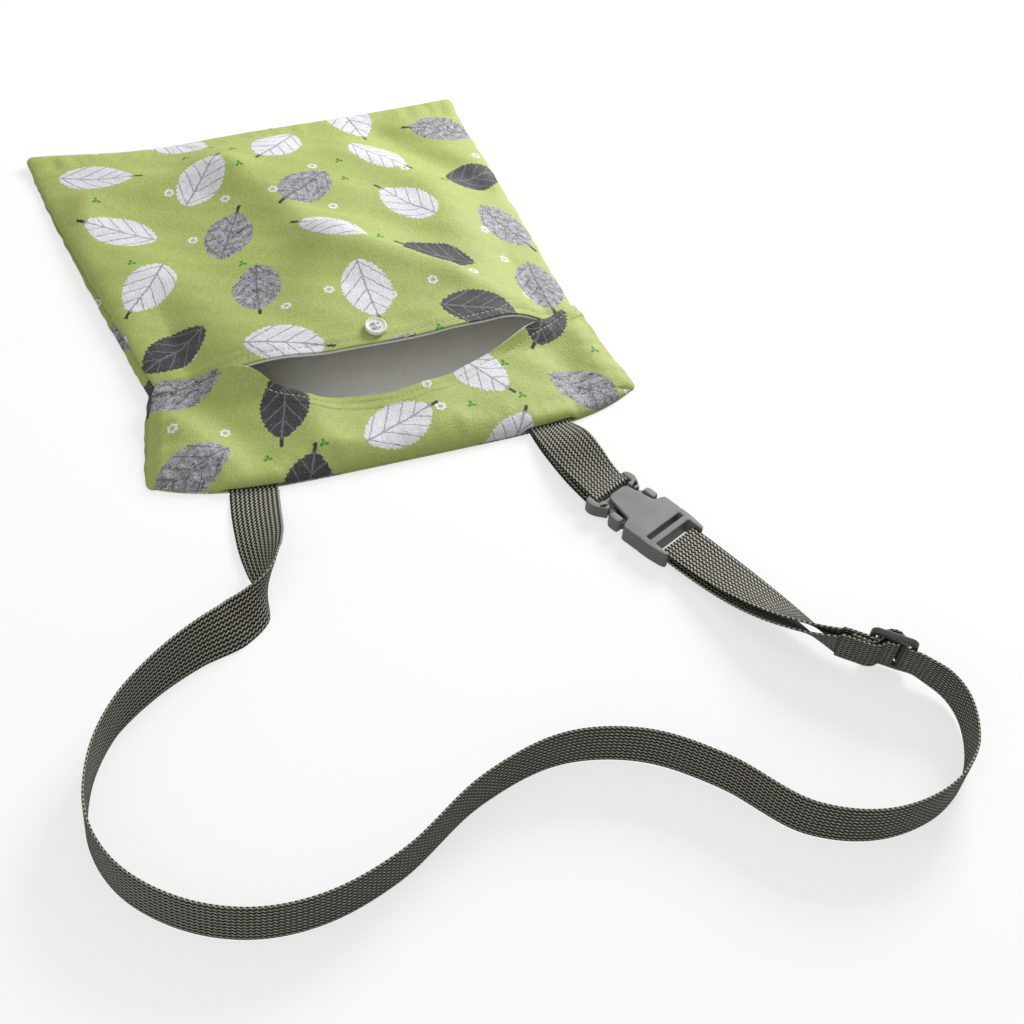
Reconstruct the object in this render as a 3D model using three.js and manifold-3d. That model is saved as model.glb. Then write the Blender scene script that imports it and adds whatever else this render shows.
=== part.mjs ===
// Peg bag worn at the waist: a lined cotton pouch with a front mouth, an adjustable webbing strap,
// a side-release buckle and a slider. It lies on its back, front face up.
// Millimetres, +Z up. Origin under the middle of the bag, X across it, strap seam towards -Y.
import * as THREE from 'three';
import { mergeVertices } from 'three/addons/utils/BufferGeometryUtils.js';
import Module from 'manifold-3d';

const wasm = await Module();
wasm.setup();

// Bag outline
const BAG_WIDTH = 274;
const BAG_LENGTH = 303;
const CORNER_RADIUS = 4;
const STRAP_SEAM_BOW = 16;
const BOTTOM_SEAM_BOW = 5;
const LEFT_WAIST = 17;
const RIGHT_WAIST = 11;
const WAIST_Y = -71;
const SEAM_LIFT = 7;

// Cloth layers
const CLOTH = 1;
const LINING = 0.6;
const LAYER_GAP = 0.3;
const OVERLAP_GAP = 1;

// Mouth and filling
const FRONT_HEM_Y = -78;
const FRONT_HEM_BOW = 10;
const MOUTH_LEFT = -100;
const MOUTH_RIGHT = 108;
const FILL_RISE = 19;
const SIDE_RISE = 5;
const MOUTH_RISE = 15.5;

// Bottom seam off the surface: its rise, how far that reaches in, and the dip where the front folds in
const END_LIFT = 5;
const END_REACH = 38;
const END_DIP_X = -64;
const END_DIP_WIDTH = 45;

// Folds of the front panel: lift, width on the fold's left and on its right, then points along it in plan
const FRONT_FOLDS = [
  [5.4, 50, 20, [[-24, 98], [-14, 78], [-5, 50], [1, 14]]],
  [2.6, 40, 18, [[-8, -18], [-16, -38], [-28, -58]]],
  [-5, 36, 36, [[-80, 65], [-66, 30], [-62, -15]]],
  [3, 14, 14, [[-129, 79], [-111, 96], [-83, 102], [-60, 99], [-29, 97]]],
  [3, 16, 16, [[45, 95], [70, 66], [83, 50], [82, 10]]],
  [-3.2, 13, 13, [[78, 123], [94, 94], [110, 68], [122, 53]]],
  [4.2, 6, 24, [[8, 4], [21, -13], [39, -26], [57, -41]]],
  [-2.6, 14, 14, [[10, 40], [34, 30], [52, 2], [70, -22]]],
];

// Where folds fade out: share of the half width at the sides, then lengths from the bottom seam and the hem
const FOLD_SIDE_FADE = 0.16;
const FOLD_SEAM_FADE = 30;
const FOLD_HEM_START = 12;
const FOLD_HEM_FULL = 40;

// Hem of the top band from the left side seam to the right one: x, y
const BAND_HEM = [
  [-121, -71], [-104, -75], [-84, -80], [-66, -87], [-52, -98], [-34, -108], [0, -113],
  [36, -107], [54, -100], [76, -93], [90, -87], [102, -82], [114, -76], [128, -71],
];

// Sewing
const HEM_STITCH_INSET = 4;
const STITCH_WIDTH = 0.8;
const STITCH_THICK = 0.4;

// Button
const BUTTON_X = 2;
const BUTTON_INSET = 9;
const BUTTON_RADIUS = 6;
const BUTTON_THICK = 2.4;
const BUTTON_RIM = 1.3;
const BUTTON_DISH = 0.7;
const BUTTON_HOLE_RADIUS = 0.9;
const BUTTON_HOLE_SPREAD = 1.6;
const BUTTON_SIDES = 40;
const BUTTON_HOLE_SIDES = 12;
const THREAD_SIZE = 0.9;

// Webbing
const STRAP_WIDTH = 25;
const STRAP_THICK = 1.2;
const STRAP_GAP = 0.3;
const LEFT_ROOT_X = -87;
const RIGHT_ROOT_X = 77.5;
const UPPER_ARCH = 5.8;
const LOWER_ARCH = 3.4;
const SHORT_STRAP_ROLL = 22;
const BAR_LEAD = 4.2;
const LOOP_SPREAD = 0.3;
const TWIST_DELAY = 2.1;

// Free run of the strap from the left root to the slider: x, y, height of the lower edge, edge angle.
// An edge angle of 0 lies flat and 90 stands on edge.
const STRAP_ROUTE = [
  [-91, -168, 1.5, 9], [-95, -188, 2.0, 24], [-98.5, -206, 1.6, 49], [-101.5, -221, 0.8, 80],
  [-109, -232.5, 0.7, 112], [-123, -240, 0.8, 124], [-142, -247.5, 0.8, 110], [-166, -260, 0.5, 100],
  [-189, -278, 0.3, 92], [-205, -302, 0.3, 90], [-212, -330, 0.3, 90], [-206, -356, 0.3, 90],
  [-187, -379, 0.3, 90], [-161, -393, 0.3, 90], [-131, -396, 0.3, 90], [-95, -387, 0.3, 90],
  [-49, -363, 0.3, 90], [-7, -354, 0.3, 90], [29, -364, 0.3, 90], [57, -388, 0.3, 90],
  [82, -422, 0.3, 90], [112, -436, 0.3, 90], [145, -434, 0.3, 90], [169, -419.5, 0.5, 91],
  [182, -396, 1.0, 85], [182.5, -379.5, 1.8, 79],
];

// Side-release buckle, lengths along it from the tip of the socket's tongue
const BUCKLE_NOSE = new THREE.Vector2(87, -212);
const BUCKLE_HEADING = -66.5;
const FLOOR_GAP = 0.6;
const BUCKLE_THICK = 9.4;
const PLATE_THICK = 2;
const FIT_GAP = 0.4;
const CHEEK = 3.6;
const TONGUE_LENGTH = 17;
const TONGUE_NOSE_WIDTH = 13;
const TONGUE_ROOT_WIDTH = 20.4;
const SHOULDER_RUN = 2;
const THROAT_LENGTH = 5;
const SIDE_WALL = 4;
const POCKET_LENGTH = 5.5;
const POCKET_WALL = 1.6;
const POCKET_RIB = 2;
const LADDER_SLOT = 2.8;
const LADDER_BAR = 3.7;
const STRAP_SLOT = 5.4;
const SOCKET_BAR = 3.6;
const SOCKET_BAR_HEIGHT = 3.4;
const END_TAPER = 1.5;
const NOSE_OVERHANG = 0.6;
const CROSS_LENGTH = 6.6;
const PLUG_SLOT = 3.2;
const PLUG_BAR = 3.6;
const PLUG_BAR_HEIGHT = 4;
const FRAME_ARM = 4.6;
const FRAME_THICK = 7;
const WINDOW_WALL = 1.4;
const GUIDE_WIDTH = 7;
const GUIDE_STOP = 2.5;
const PIVOT_SETBACK = 1.2;
const PRONG_ROOT_RADIUS = 2;
const PRONG_ARM = 2.6;
const BARB_DEPTH = 2.2;
const PAD_SETBACK = 1.5;
const PAD_LENGTH = 7.2;
const PAD_ROUNDING = 3;
const PAD_INSET = 0.7;
const PAD_DEPTH = 4.2;
const PAD_HEIGHT = 7.8;
const BARB_NOSE = 1;
const GROOVE_WIDTH = 0.7;
const GROOVE_DEPTH = 0.6;

// How far a cut runs past the face that it opens
const CUT_PAST = 1;

// Slider with three bars, standing on its lower rail and leaning to its side
const SLIDER_PLACE = new THREE.Vector2(165, -353);
const SLIDER_HEADING = 137;
const SLIDER_LEAN = 17;
const SLIDER_THICK = 3.2;
const SLIDER_BAR = 3;
const SLIDER_CENTRE_BAR = 3.6;
const SLIDER_SLOT_EASE = 3.2;
const SLIDER_RAIL = 3.1;
const SLIDER_CORNER = 4.5;
const SEWN_LENGTH = 8;
const TAIL_STITCH_LENGTH = 20;

// Finishes
const finish = (color, roughness) => new THREE.MeshStandardMaterial({ color, roughness, metalness: 0 });
const COTTON = finish(0xb4cd78, 0.85);
const LINING_COTTON = finish(0xeeece4, 0.9);
const WEBBING = finish(0x4a4a3e, 0.8);
const GREY_PLASTIC = finish(0x7c7c7a, 0.45);
const DARK_PLASTIC = finish(0x4c4d4d, 0.5);
const WHITE_PLASTIC = finish(0xf2f1ea, 0.35);
const THREAD = finish(0xd9d6c6, 0.8);
const HEM_THREAD = finish(0xdfe4c8, 0.8);
const BAND_THREAD = finish(0xcfe0a4, 0.8);
const STRAP_THREAD = finish(0x3a3830, 0.8);

const UP = new THREE.Vector3(0, 0, 1);
const object = new THREE.Group();

// Adds one named piece to the object or to a placed group.
function addPiece(name, geometry, material, group = object) {
  const mesh = new THREE.Mesh(geometry, material);
  mesh.name = name;
  group.add(mesh);
}

// Turns a closed geometry into a solid that can be joined and cut.
function solidOf(geometry) {
  const bare = new THREE.BufferGeometry();
  bare.setAttribute('position', geometry.getAttribute('position'));
  bare.setIndex(geometry.index);
  const merged = mergeVertices(bare, 1e-4);
  const vertProperties = new Float32Array(merged.getAttribute('position').array);
  const triVerts = new Uint32Array(merged.index.array);
  return new wasm.Manifold(new wasm.Mesh({ numProp: 3, vertProperties, triVerts }));
}

// Turns a solid back into a geometry.
function geometryOf(solid) {
  const { vertProperties, triVerts } = solid.getMesh();
  const geometry = new THREE.BufferGeometry();
  geometry.setAttribute('position', new THREE.BufferAttribute(new Float32Array(vertProperties), 3));
  geometry.setIndex(new THREE.BufferAttribute(new Uint32Array(triVerts), 1));
  return geometry;
}

// A closed geometry from points and the rings of four that join them.
function meshOfQuads(points, quads) {
  const geometry = new THREE.BufferGeometry();
  const flat = points.flatMap((point) => point.toArray());
  const index = quads.flatMap(([a, b, c, d]) => [a, b, c, a, c, d]);
  geometry.setAttribute('position', new THREE.Float32BufferAttribute(flat, 3));
  geometry.setIndex(index);
  return geometry;
}

// An outline in plan raised from one height to another.
function prism(shape, low, high) {
  const options = { depth: high - low, bevelEnabled: false, curveSegments: 6 };
  const geometry = new THREE.ExtrudeGeometry(shape, options);
  return solidOf(geometry.translate(0, 0, low));
}

// A box between two corners.
function box(low, high) {
  const size = high.map((value, axis) => value - low[axis]);
  const middle = high.map((value, axis) => (value + low[axis]) / 2);
  return solidOf(new THREE.BoxGeometry(...size).translate(...middle));
}

// A rectangle about the origin with rounded corners.
function roundedRectangle(width, height, radius) {
  const x = width / 2;
  const y = height / 2;
  const shape = new THREE.Shape();
  shape.moveTo(x, y - radius);
  shape.absarc(x - radius, y - radius, radius, 0, Math.PI / 2);
  shape.absarc(radius - x, y - radius, radius, Math.PI / 2, Math.PI);
  shape.absarc(radius - x, radius - y, radius, Math.PI, 1.5 * Math.PI);
  shape.absarc(x - radius, radius - y, radius, 1.5 * Math.PI, 2 * Math.PI);
  return shape;
}

// Bag surfaces
const smooth = THREE.MathUtils.smoothstep;
const bottomCornerY = BAG_LENGTH / 2;
const strapCornerY = STRAP_SEAM_BOW - BAG_LENGTH / 2;
const mouthMiddle = (MOUTH_LEFT + MOUTH_RIGHT) / 2;
const mouthHalf = (MOUTH_RIGHT - MOUTH_LEFT) / 2;
const liningDrop = LAYER_GAP + LINING;
const bandStack = CLOTH + LAYER_GAP + liningDrop + OVERLAP_GAP;

// Bottom seam and strap seam in plan, for a place across the bag from -1 to 1.
const bottomSeamY = (across) => BAG_LENGTH / 2 - BOTTOM_SEAM_BOW * (1 - across ** 2);
const strapSeamY = (across) => STRAP_SEAM_BOW * Math.abs(across) ** 5 - BAG_LENGTH / 2;

// How strongly the filled mouth draws the side seams in, from 0 at the corners to 1 at the waist.
function waistPull(y) {
  const reach = y > WAIST_Y ? bottomCornerY - WAIST_Y : WAIST_Y - strapCornerY;
  return Math.max(0, 1 - Math.abs(y - WAIST_Y) / reach) ** 1.4;
}

// Half the bag's width at a place along it, with rounded corners and a drawn-in waist.
function halfWidth(y, across) {
  const toEnd = Math.max(0, Math.min(bottomCornerY - y, y - strapCornerY, CORNER_RADIUS));
  const cornerCut = CORNER_RADIUS - Math.sqrt(CORNER_RADIUS ** 2 - (CORNER_RADIUS - toEnd) ** 2);
  const waist = across < 0 ? LEFT_WAIST : RIGHT_WAIST;
  return BAG_WIDTH / 2 - cornerCut - waist * waistPull(y);
}

// The x of a place across the bag at a given y.
const seamX = (across, y) => across * halfWidth(y, across);

// Place across the mouth from -1 to 1, and the level swell of the front edge that drops at both ends.
const mouthPlace = (x) => (x - mouthMiddle) / mouthHalf;
const mouthSwell = (x) => Math.max(0, 1 - mouthPlace(x) ** 8) ** 2;
const frontHemY = (x) => FRONT_HEM_Y - FRONT_HEM_BOW * Math.max(0, 1 - mouthPlace(x) ** 2);
const crown = (across) => Math.sqrt(Math.max(0, 1 - across ** 2));
const seamLift = (y) => SEAM_LIFT * waistPull(y);

// Rise of both panels towards the bottom seam, by a square law, with a bell-shaped dip.
function endLift(x, y) {
  const near = Math.max(0, 1 - (bottomCornerY - y) / END_REACH) ** 2;
  const dip = Math.exp(-(((x - END_DIP_X) / END_DIP_WIDTH) ** 2));
  return END_LIFT * near * (1 - dip);
}

// Sum of the folds at a place: each falls away as a bell, with its width on the side where the place lies.
function foldLift(x, y) {
  let total = 0;
  for (const [lift, left, right, line] of FRONT_FOLDS) {
    let nearest = Infinity;
    let side = 0;
    for (let at = 1; at < line.length; at += 1) {
      const [startX, startY] = line[at - 1];
      const runX = line[at][0] - startX;
      const runY = line[at][1] - startY;
      const run = Math.hypot(runX, runY);
      const share = ((x - startX) * runX + (y - startY) * runY) / run ** 2;
      const kept = THREE.MathUtils.clamp(share, 0, 1);
      const dx = x - startX - kept * runX;
      const dy = y - startY - kept * runY;
      const distance = Math.hypot(dx, dy);
      if (distance < nearest) {
        nearest = distance;
        side = distance > 0 ? (runX * dy - runY * dx) / (run * distance) : 0;
      }
    }
    const width = THREE.MathUtils.mapLinear(side, -1, 1, right, left);
    total += lift * Math.exp(-((nearest / width) ** 2));
  }
  return total;
}

// Underside of the back panel: flat in the middle, turned up to the side seams and the bottom seam.
function backUnder(across, x, y) {
  const turned = Math.max(0, (Math.abs(across) - 0.6) / 0.4) ** 2;
  return seamLift(y) * turned + endLift(x, y);
}

// Underside of the front panel: a filled crown with its folds, which runs out into the open mouth.
function frontUnder(across, x, y) {
  const share = (bottomSeamY(across) - y) / (bottomSeamY(across) - FRONT_HEM_Y);
  const along = Math.max(0, Math.min(1, share));
  const filled = FILL_RISE * (1 - (1 - along) ** 2) ** 0.6;
  const open = smooth(along, 0.5, 0.9);
  const rise = (filled * (1 - open) + SIDE_RISE * open) * crown(across);
  const fromHem = y - frontHemY(seamX(across, FRONT_HEM_Y));
  const atSides = smooth(1 - Math.abs(across), 0, FOLD_SIDE_FADE);
  const atSeam = smooth(bottomSeamY(across) - y, 0, FOLD_SEAM_FADE);
  const atHem = smooth(fromHem, FOLD_HEM_START, FOLD_HEM_FULL);
  const folds = foldLift(x, y) * atSides * atSeam * atHem;
  const base = seamLift(y) + endLift(x, y) + CLOTH + LAYER_GAP;
  return base + rise + MOUTH_RISE * mouthSwell(x) * open + folds;
}

// Hem of the top band at a given x, straight between its listed points.
function bandHemY(x) {
  const last = BAND_HEM.length - 1;
  const found = BAND_HEM.findIndex(([place]) => place > x);
  const next = Math.max(1, found < 0 ? last : found);
  const [startX, startY] = BAND_HEM[next - 1];
  const [endX, endY] = BAND_HEM[next];
  return THREE.MathUtils.mapLinear(THREE.MathUtils.clamp(x, startX, endX), startX, endX, startY, endY);
}

// Underside of the top band: from the strap seam up and over the front panel's sides.
function bandUnder(across, x, y) {
  const seam = strapSeamY(across);
  const along = (y - seam) / (bandHemY(x) - seam);
  const rolled = (1 - (1 - Math.min(1, along / 0.35)) ** 2) ** 0.6;
  const overFront = smooth(y, FRONT_HEM_Y - 22, FRONT_HEM_Y - 1);
  const rise = (SIDE_RISE * crown(across) + bandStack) * rolled;
  return seamLift(y) + CLOTH + LAYER_GAP + rise + MOUTH_RISE * mouthSwell(x) * overFront;
}

// A thin closed sheet over a grid of places across and along the bag.
// edges gives the first and last y for a place across, under gives the height of its lower face.
function sheet(columns, rows, edges, under, thick) {
  const points = [];
  for (const lift of [0, thick]) {
    for (const along of rows) {
      for (const across of columns) {
        const [start, end] = edges(across);
        const y = start + (end - start) * along;
        const x = across * halfWidth(y, across);
        points.push(new THREE.Vector3(x, y, under(across, x, y) + lift));
      }
    }
  }
  const wide = columns.length;
  const layer = wide * rows.length;
  const quads = [];
  for (let row = 0; row < rows.length - 1; row += 1) {
    for (let column = 0; column < wide - 1; column += 1) {
      const at = row * wide + column;
      quads.push([at + layer, at + layer + 1, at + layer + wide + 1, at + layer + wide]);
      quads.push([at, at + wide, at + wide + 1, at + 1]);
    }
  }
  for (let column = 0; column < wide - 1; column += 1) {
    const last = layer - wide + column;
    quads.push([column, column + 1, column + 1 + layer, column + layer]);
    quads.push([last + 1, last, last + layer, last + 1 + layer]);
  }
  for (let row = 0; row < rows.length - 1; row += 1) {
    const at = row * wide;
    const end = at + wide - 1;
    quads.push([at + wide, at, at + layer, at + wide + layer]);
    quads.push([end, end + wide, end + wide + layer, end + layer]);
  }
  return meshOfQuads(points, quads);
}

// Places across the bag, close together at the side seams.
const half = [0.1, 0.2, 0.3, 0.4, 0.5, 0.58, 0.66, 0.74, 0.8, 0.86, 0.91, 0.95, 0.98, 1];
const columns = [...half.map((place) => -place).reverse(), 0, ...half];
const innerColumns = columns.slice(1, -1);

// Places along a panel: steps that close up towards a seam at one end or at both.
const backRows = [
  0, 0.006, 0.02, 0.06, 0.15, 0.27, 0.42, 0.58, 0.73, 0.83, 0.87, 0.905, 0.935, 0.96, 0.98, 0.994, 1,
];
const frontRows = [
  0, 0.05, 0.12, 0.19, 0.26, 0.33, 0.4, 0.47, 0.54, 0.61, 0.68, 0.75, 0.82, 0.87, 0.91, 0.95, 0.975, 0.992, 1,
];
const bandRows = [0, 0.03, 0.09, 0.18, 0.32, 0.48, 0.6, 0.68, 0.75, 0.8, 0.84, 0.88, 0.91, 0.94, 0.97, 1];

function buildBag() {
  const backEdges = (across) => [strapSeamY(across), bottomSeamY(across)];
  const frontEdges = (across) => [frontHemY(seamX(across, FRONT_HEM_Y)), bottomSeamY(across)];
  const bandEdges = (across) => [strapSeamY(across), bandHemY(seamX(across, FRONT_HEM_Y))];
  const onBack = (across, x, y) => backUnder(across, x, y) + CLOTH + LAYER_GAP;
  const underFront = (across, x, y) => frontUnder(across, x, y) - liningDrop;
  const underBand = (across, x, y) => bandUnder(across, x, y) - liningDrop;
  const backLining = sheet(innerColumns.slice(1, -1), backRows.slice(3, -3), backEdges, onBack, LINING);
  const frontLining = sheet(innerColumns, frontRows.slice(0, -2), frontEdges, underFront, LINING);
  const bandLining = sheet(innerColumns, bandRows.slice(1), bandEdges, underBand, LINING);
  addPiece('back_panel', sheet(columns, backRows, backEdges, backUnder, CLOTH), COTTON);
  addPiece('back_lining', backLining, LINING_COTTON);
  addPiece('front_panel', sheet(columns, frontRows, frontEdges, frontUnder, CLOTH), COTTON);
  addPiece('front_lining', frontLining, LINING_COTTON);
  addPiece('top_band', sheet(columns, bandRows, bandEdges, bandUnder, CLOTH), COTTON);
  addPiece('band_lining', bandLining, LINING_COTTON);
}

// Rows of stitching along the two hems of the mouth.
function buildHemStitches() {
  const hemX = (across) => seamX(across, FRONT_HEM_Y);
  const visible = columns.filter((across) => frontHemY(hemX(across)) > bandHemY(hemX(across)));
  const frontLine = (across) => {
    const start = frontHemY(hemX(across)) + HEM_STITCH_INSET;
    return [start, start + STITCH_WIDTH];
  };
  const onFront = (across, x, y) => frontUnder(across, x, y) + CLOTH + LAYER_GAP;
  const bandLine = (across) => {
    const end = bandHemY(hemX(across)) - HEM_STITCH_INSET;
    return [end - STITCH_WIDTH, end];
  };
  const onBand = (across, x, y) => bandUnder(across, x, y) + CLOTH + LAYER_GAP;
  addPiece('front_hem_stitch', sheet(visible, [0, 1], frontLine, onFront, STITCH_THICK), HEM_THREAD);
  addPiece('band_hem_stitch', sheet(innerColumns, [0, 1], bandLine, onBand, STITCH_THICK), BAND_THREAD);
}

// Four-hole button on the front panel, standing clear of the hem stitching and sewn through its holes.
function buildButton() {
  const across = BUTTON_X / halfWidth(FRONT_HEM_Y, 1);
  const y = frontHemY(BUTTON_X) + BUTTON_INSET;
  const top = (dx, dy) => frontUnder(across, BUTTON_X + dx, y + dy) + CLOTH;
  const slopeX = (top(1, 0) - top(-1, 0)) / 2;
  const slopeY = (top(0, 1) - top(0, -1)) / 2;
  const facing = new THREE.Vector3(-slopeX, -slopeY, 1).normalize();
  const seatGap = 2 * LAYER_GAP + STITCH_THICK;
  const seat = new THREE.Group();
  seat.position.set(BUTTON_X, y, top(0, 0) + seatGap);
  seat.quaternion.setFromUnitVectors(UP, facing);
  object.add(seat);
  const inner = BUTTON_RADIUS - BUTTON_RIM;
  const dish = BUTTON_THICK - BUTTON_DISH;
  const round = BUTTON_RIM / 3;
  const profile = [
    [0, 0], [BUTTON_RADIUS - round, 0], [BUTTON_RADIUS, round], [BUTTON_RADIUS, BUTTON_THICK - round],
    [BUTTON_RADIUS - round, BUTTON_THICK], [inner + round, BUTTON_THICK], [inner - round, dish], [0, dish],
  ].map(([radius, height]) => new THREE.Vector2(radius, height));
  let button = solidOf(new THREE.LatheGeometry(profile, BUTTON_SIDES).rotateX(Math.PI / 2));
  const threadTop = dish + LAYER_GAP + THREAD_SIZE;
  const reach = THREAD_SIZE / 2;
  const low = LAYER_GAP - seatGap;
  const far = BUTTON_HOLE_SPREAD + reach;
  let thread = box([-reach, -far, dish + LAYER_GAP], [reach, far, threadTop]);
  for (const y of [-BUTTON_HOLE_SPREAD, BUTTON_HOLE_SPREAD]) {
    for (const x of [-BUTTON_HOLE_SPREAD, BUTTON_HOLE_SPREAD]) {
      const hole = [BUTTON_HOLE_RADIUS, BUTTON_HOLE_RADIUS, 4 * BUTTON_THICK, BUTTON_HOLE_SIDES];
      const drill = new THREE.CylinderGeometry(...hole).rotateX(Math.PI / 2);
      button = button.subtract(solidOf(drill.translate(x, y, 0)));
      thread = thread.add(box([x - reach, y - reach, low], [x + reach, y + reach, threadTop]));
    }
    thread = thread.add(box([-far, y - reach, dish + LAYER_GAP], [far, y + reach, threadTop]));
  }
  addPiece('button', geometryOf(button), WHITE_PLASTIC, seat);
  addPiece('button_thread', geometryOf(thread), THREAD, seat);
}

// Buckle and slider frames: forward along the piece, side to its left, both level.
const level = (degrees) => {
  const turn = THREE.MathUtils.degToRad(degrees);
  return new THREE.Vector3(Math.cos(turn), Math.sin(turn), 0);
};
const buckleForward = level(BUCKLE_HEADING);
const buckleSide = level(BUCKLE_HEADING + 90);
const sliderForward = level(SLIDER_HEADING);
const sliderLean = THREE.MathUtils.degToRad(SLIDER_LEAN);
const sliderSide = level(SLIDER_HEADING + 90).applyAxisAngle(sliderForward, -sliderLean);
const sliderUp = UP.clone().applyAxisAngle(sliderForward, -sliderLean);

// Places along the buckle
const slotHalf = STRAP_WIDTH / 2 + FIT_GAP;
const buckleHalf = slotHalf + CHEEK;
const frameHalf = slotHalf + FRAME_ARM;
const throatHalf = buckleHalf - SIDE_WALL;
const shoulderX = TONGUE_LENGTH + SHOULDER_RUN;
const pocketStart = shoulderX + THROAT_LENGTH;
const pocketEnd = pocketStart + POCKET_LENGTH;
const ladderStart = pocketEnd + POCKET_RIB;
const strapSlotStart = ladderStart + LADDER_SLOT + LADDER_BAR;
const socketBarStart = strapSlotStart + STRAP_SLOT;
const socketEnd = socketBarStart + SOCKET_BAR;
const socketBarX = socketBarStart + SOCKET_BAR / 2;
const crossStart = -NOSE_OVERHANG;
const crossEnd = crossStart + CROSS_LENGTH;
const plugSlotStart = crossStart - PLUG_SLOT;
const frameEnd = plugSlotStart - PLUG_BAR;
const plugBarX = plugSlotStart - PLUG_BAR / 2;
const pivotX = crossEnd + PIVOT_SETBACK;
const pivotY = throatHalf - FIT_GAP - PRONG_ROOT_RADIUS;

// Heights inside the buckle
const barHeight = FLOOR_GAP + BUCKLE_THICK / 2;
const buckleTop = FLOOR_GAP + BUCKLE_THICK;
const cavityLow = FLOOR_GAP + PLATE_THICK;
const cavityHigh = buckleTop - PLATE_THICK;
const plugLow = cavityLow + FIT_GAP;
const plugHigh = cavityHigh - FIT_GAP;

// Places on the slider
const sliderSlot = 3 * STRAP_THICK + SLIDER_SLOT_EASE;
const centreHalf = SLIDER_CENTRE_BAR / 2;
const outerStart = centreHalf + sliderSlot;
const sliderHalf = outerStart + SLIDER_BAR;
const sliderHeight = 2 * (slotHalf + SLIDER_RAIL);
const sliderLift = sliderHeight / 2 + FLOOR_GAP;
const wrapGap = STRAP_GAP + STRAP_THICK / 2;

const onBuckle = (along, height) => new THREE.Vector3(BUCKLE_NOSE.x, BUCKLE_NOSE.y, height)
  .addScaledVector(buckleForward, along);
const onSlider = (along, side) => new THREE.Vector3(SLIDER_PLACE.x, SLIDER_PLACE.y, sliderLift)
  .addScaledVector(sliderForward, along).addScaledVector(sliderSide, side);

// A flat band of webbing through sections, each with a centre, an across direction and a thickness direction.
function webbing(sections) {
  const points = [];
  const quads = [];
  sections.forEach(({ centre, across, through }, step) => {
    for (const [a, t] of [[1, 1], [-1, 1], [-1, -1], [1, -1]]) {
      const corner = centre.clone().addScaledVector(across, (a * STRAP_WIDTH) / 2);
      points.push(corner.addScaledVector(through, (t * STRAP_THICK) / 2));
    }
    if (step === 0) return;
    const now = step * 4;
    for (let side = 0; side < 4; side += 1) {
      const next = (side + 1) % 4;
      quads.push([now - 4 + side, now - 4 + next, now + next, now + side]);
    }
  });
  const last = points.length - 4;
  quads.push([3, 2, 1, 0], [last, last + 1, last + 2, last + 3]);
  return meshOfQuads(points, quads);
}

// Sections along centres and across directions, with the thickness square to both.
function sectionsAlong(stations) {
  return stations.map(({ centre, across }, step) => {
    const before = stations[Math.max(0, step - 1)].centre;
    const after = stations[Math.min(stations.length - 1, step + 1)].centre;
    const heading = after.clone().sub(before).normalize();
    const through = new THREE.Vector3().crossVectors(heading, across).normalize();
    return { centre, across, through };
  });
}

// A half turn of webbing round a flat bar, its corners rounded at the wrap gap.
function halfTurn(halfLength, halfHeight, facing) {
  const corner = wrapGap * Math.SQRT1_2;
  const upper = [
    [0, halfHeight + wrapGap], [halfLength, halfHeight + wrapGap],
    [halfLength + corner, halfHeight + corner], [halfLength + wrapGap, halfHeight],
  ];
  const lower = upper.map(([along, height]) => [along, -height]).reverse();
  return [...upper, ...lower].map(([along, height]) => [facing * along, height]);
}

// Stations of a half turn round one of the buckle's bars.
const roundBar = (barX, turn, across) => turn
  .map(([along, height]) => ({ centre: onBuckle(barX + along, barHeight + height), across }));

// Where a strap leaves the strap seam, just clear of its outermost edge under the webbing.
function strapRoot(x, height) {
  const innerEdge = (Math.abs(x) - STRAP_WIDTH / 2) / halfWidth(strapCornerY, x);
  return new THREE.Vector3(x, strapSeamY(innerEdge) - STRAP_GAP, height);
}

// Stations of the free run, smoothed through the chosen points.
function freeRun(root, stepsPerSpan) {
  const route = [[root.x, root.y, root.z, 0], ...STRAP_ROUTE];
  const edgeLift = (angle) => Math.sin(THREE.MathUtils.degToRad(angle)) * (STRAP_WIDTH / 2);
  const centres = route.map(([x, y, low, angle]) => new THREE.Vector3(x, y, low + edgeLift(angle)));
  const after = onSlider(-sliderHalf - SLIDER_BAR, barSide);
  const curve = new THREE.CatmullRomCurve3([...centres, after], false, 'centripetal');
  const angles = [...route.map((place) => place[3]), 90 - SLIDER_LEAN];
  const spans = angles.length - 1;
  const stations = [];
  for (let step = 0; step < spans * stepsPerSpan; step += 1) {
    const at = step / stepsPerSpan;
    const span = Math.floor(at);
    const angle = THREE.MathUtils.degToRad(THREE.MathUtils.lerp(angles[span], angles[span + 1], at - span));
    const heading = curve.getTangent(at / spans);
    const left = new THREE.Vector3().crossVectors(UP, heading).normalize();
    const rise = new THREE.Vector3().crossVectors(heading, left);
    const across = left.multiplyScalar(Math.cos(angle)).addScaledVector(rise, Math.sin(angle));
    stations.push({ centre: curve.getPoint(at / spans), across });
  }
  return stations;
}

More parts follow.
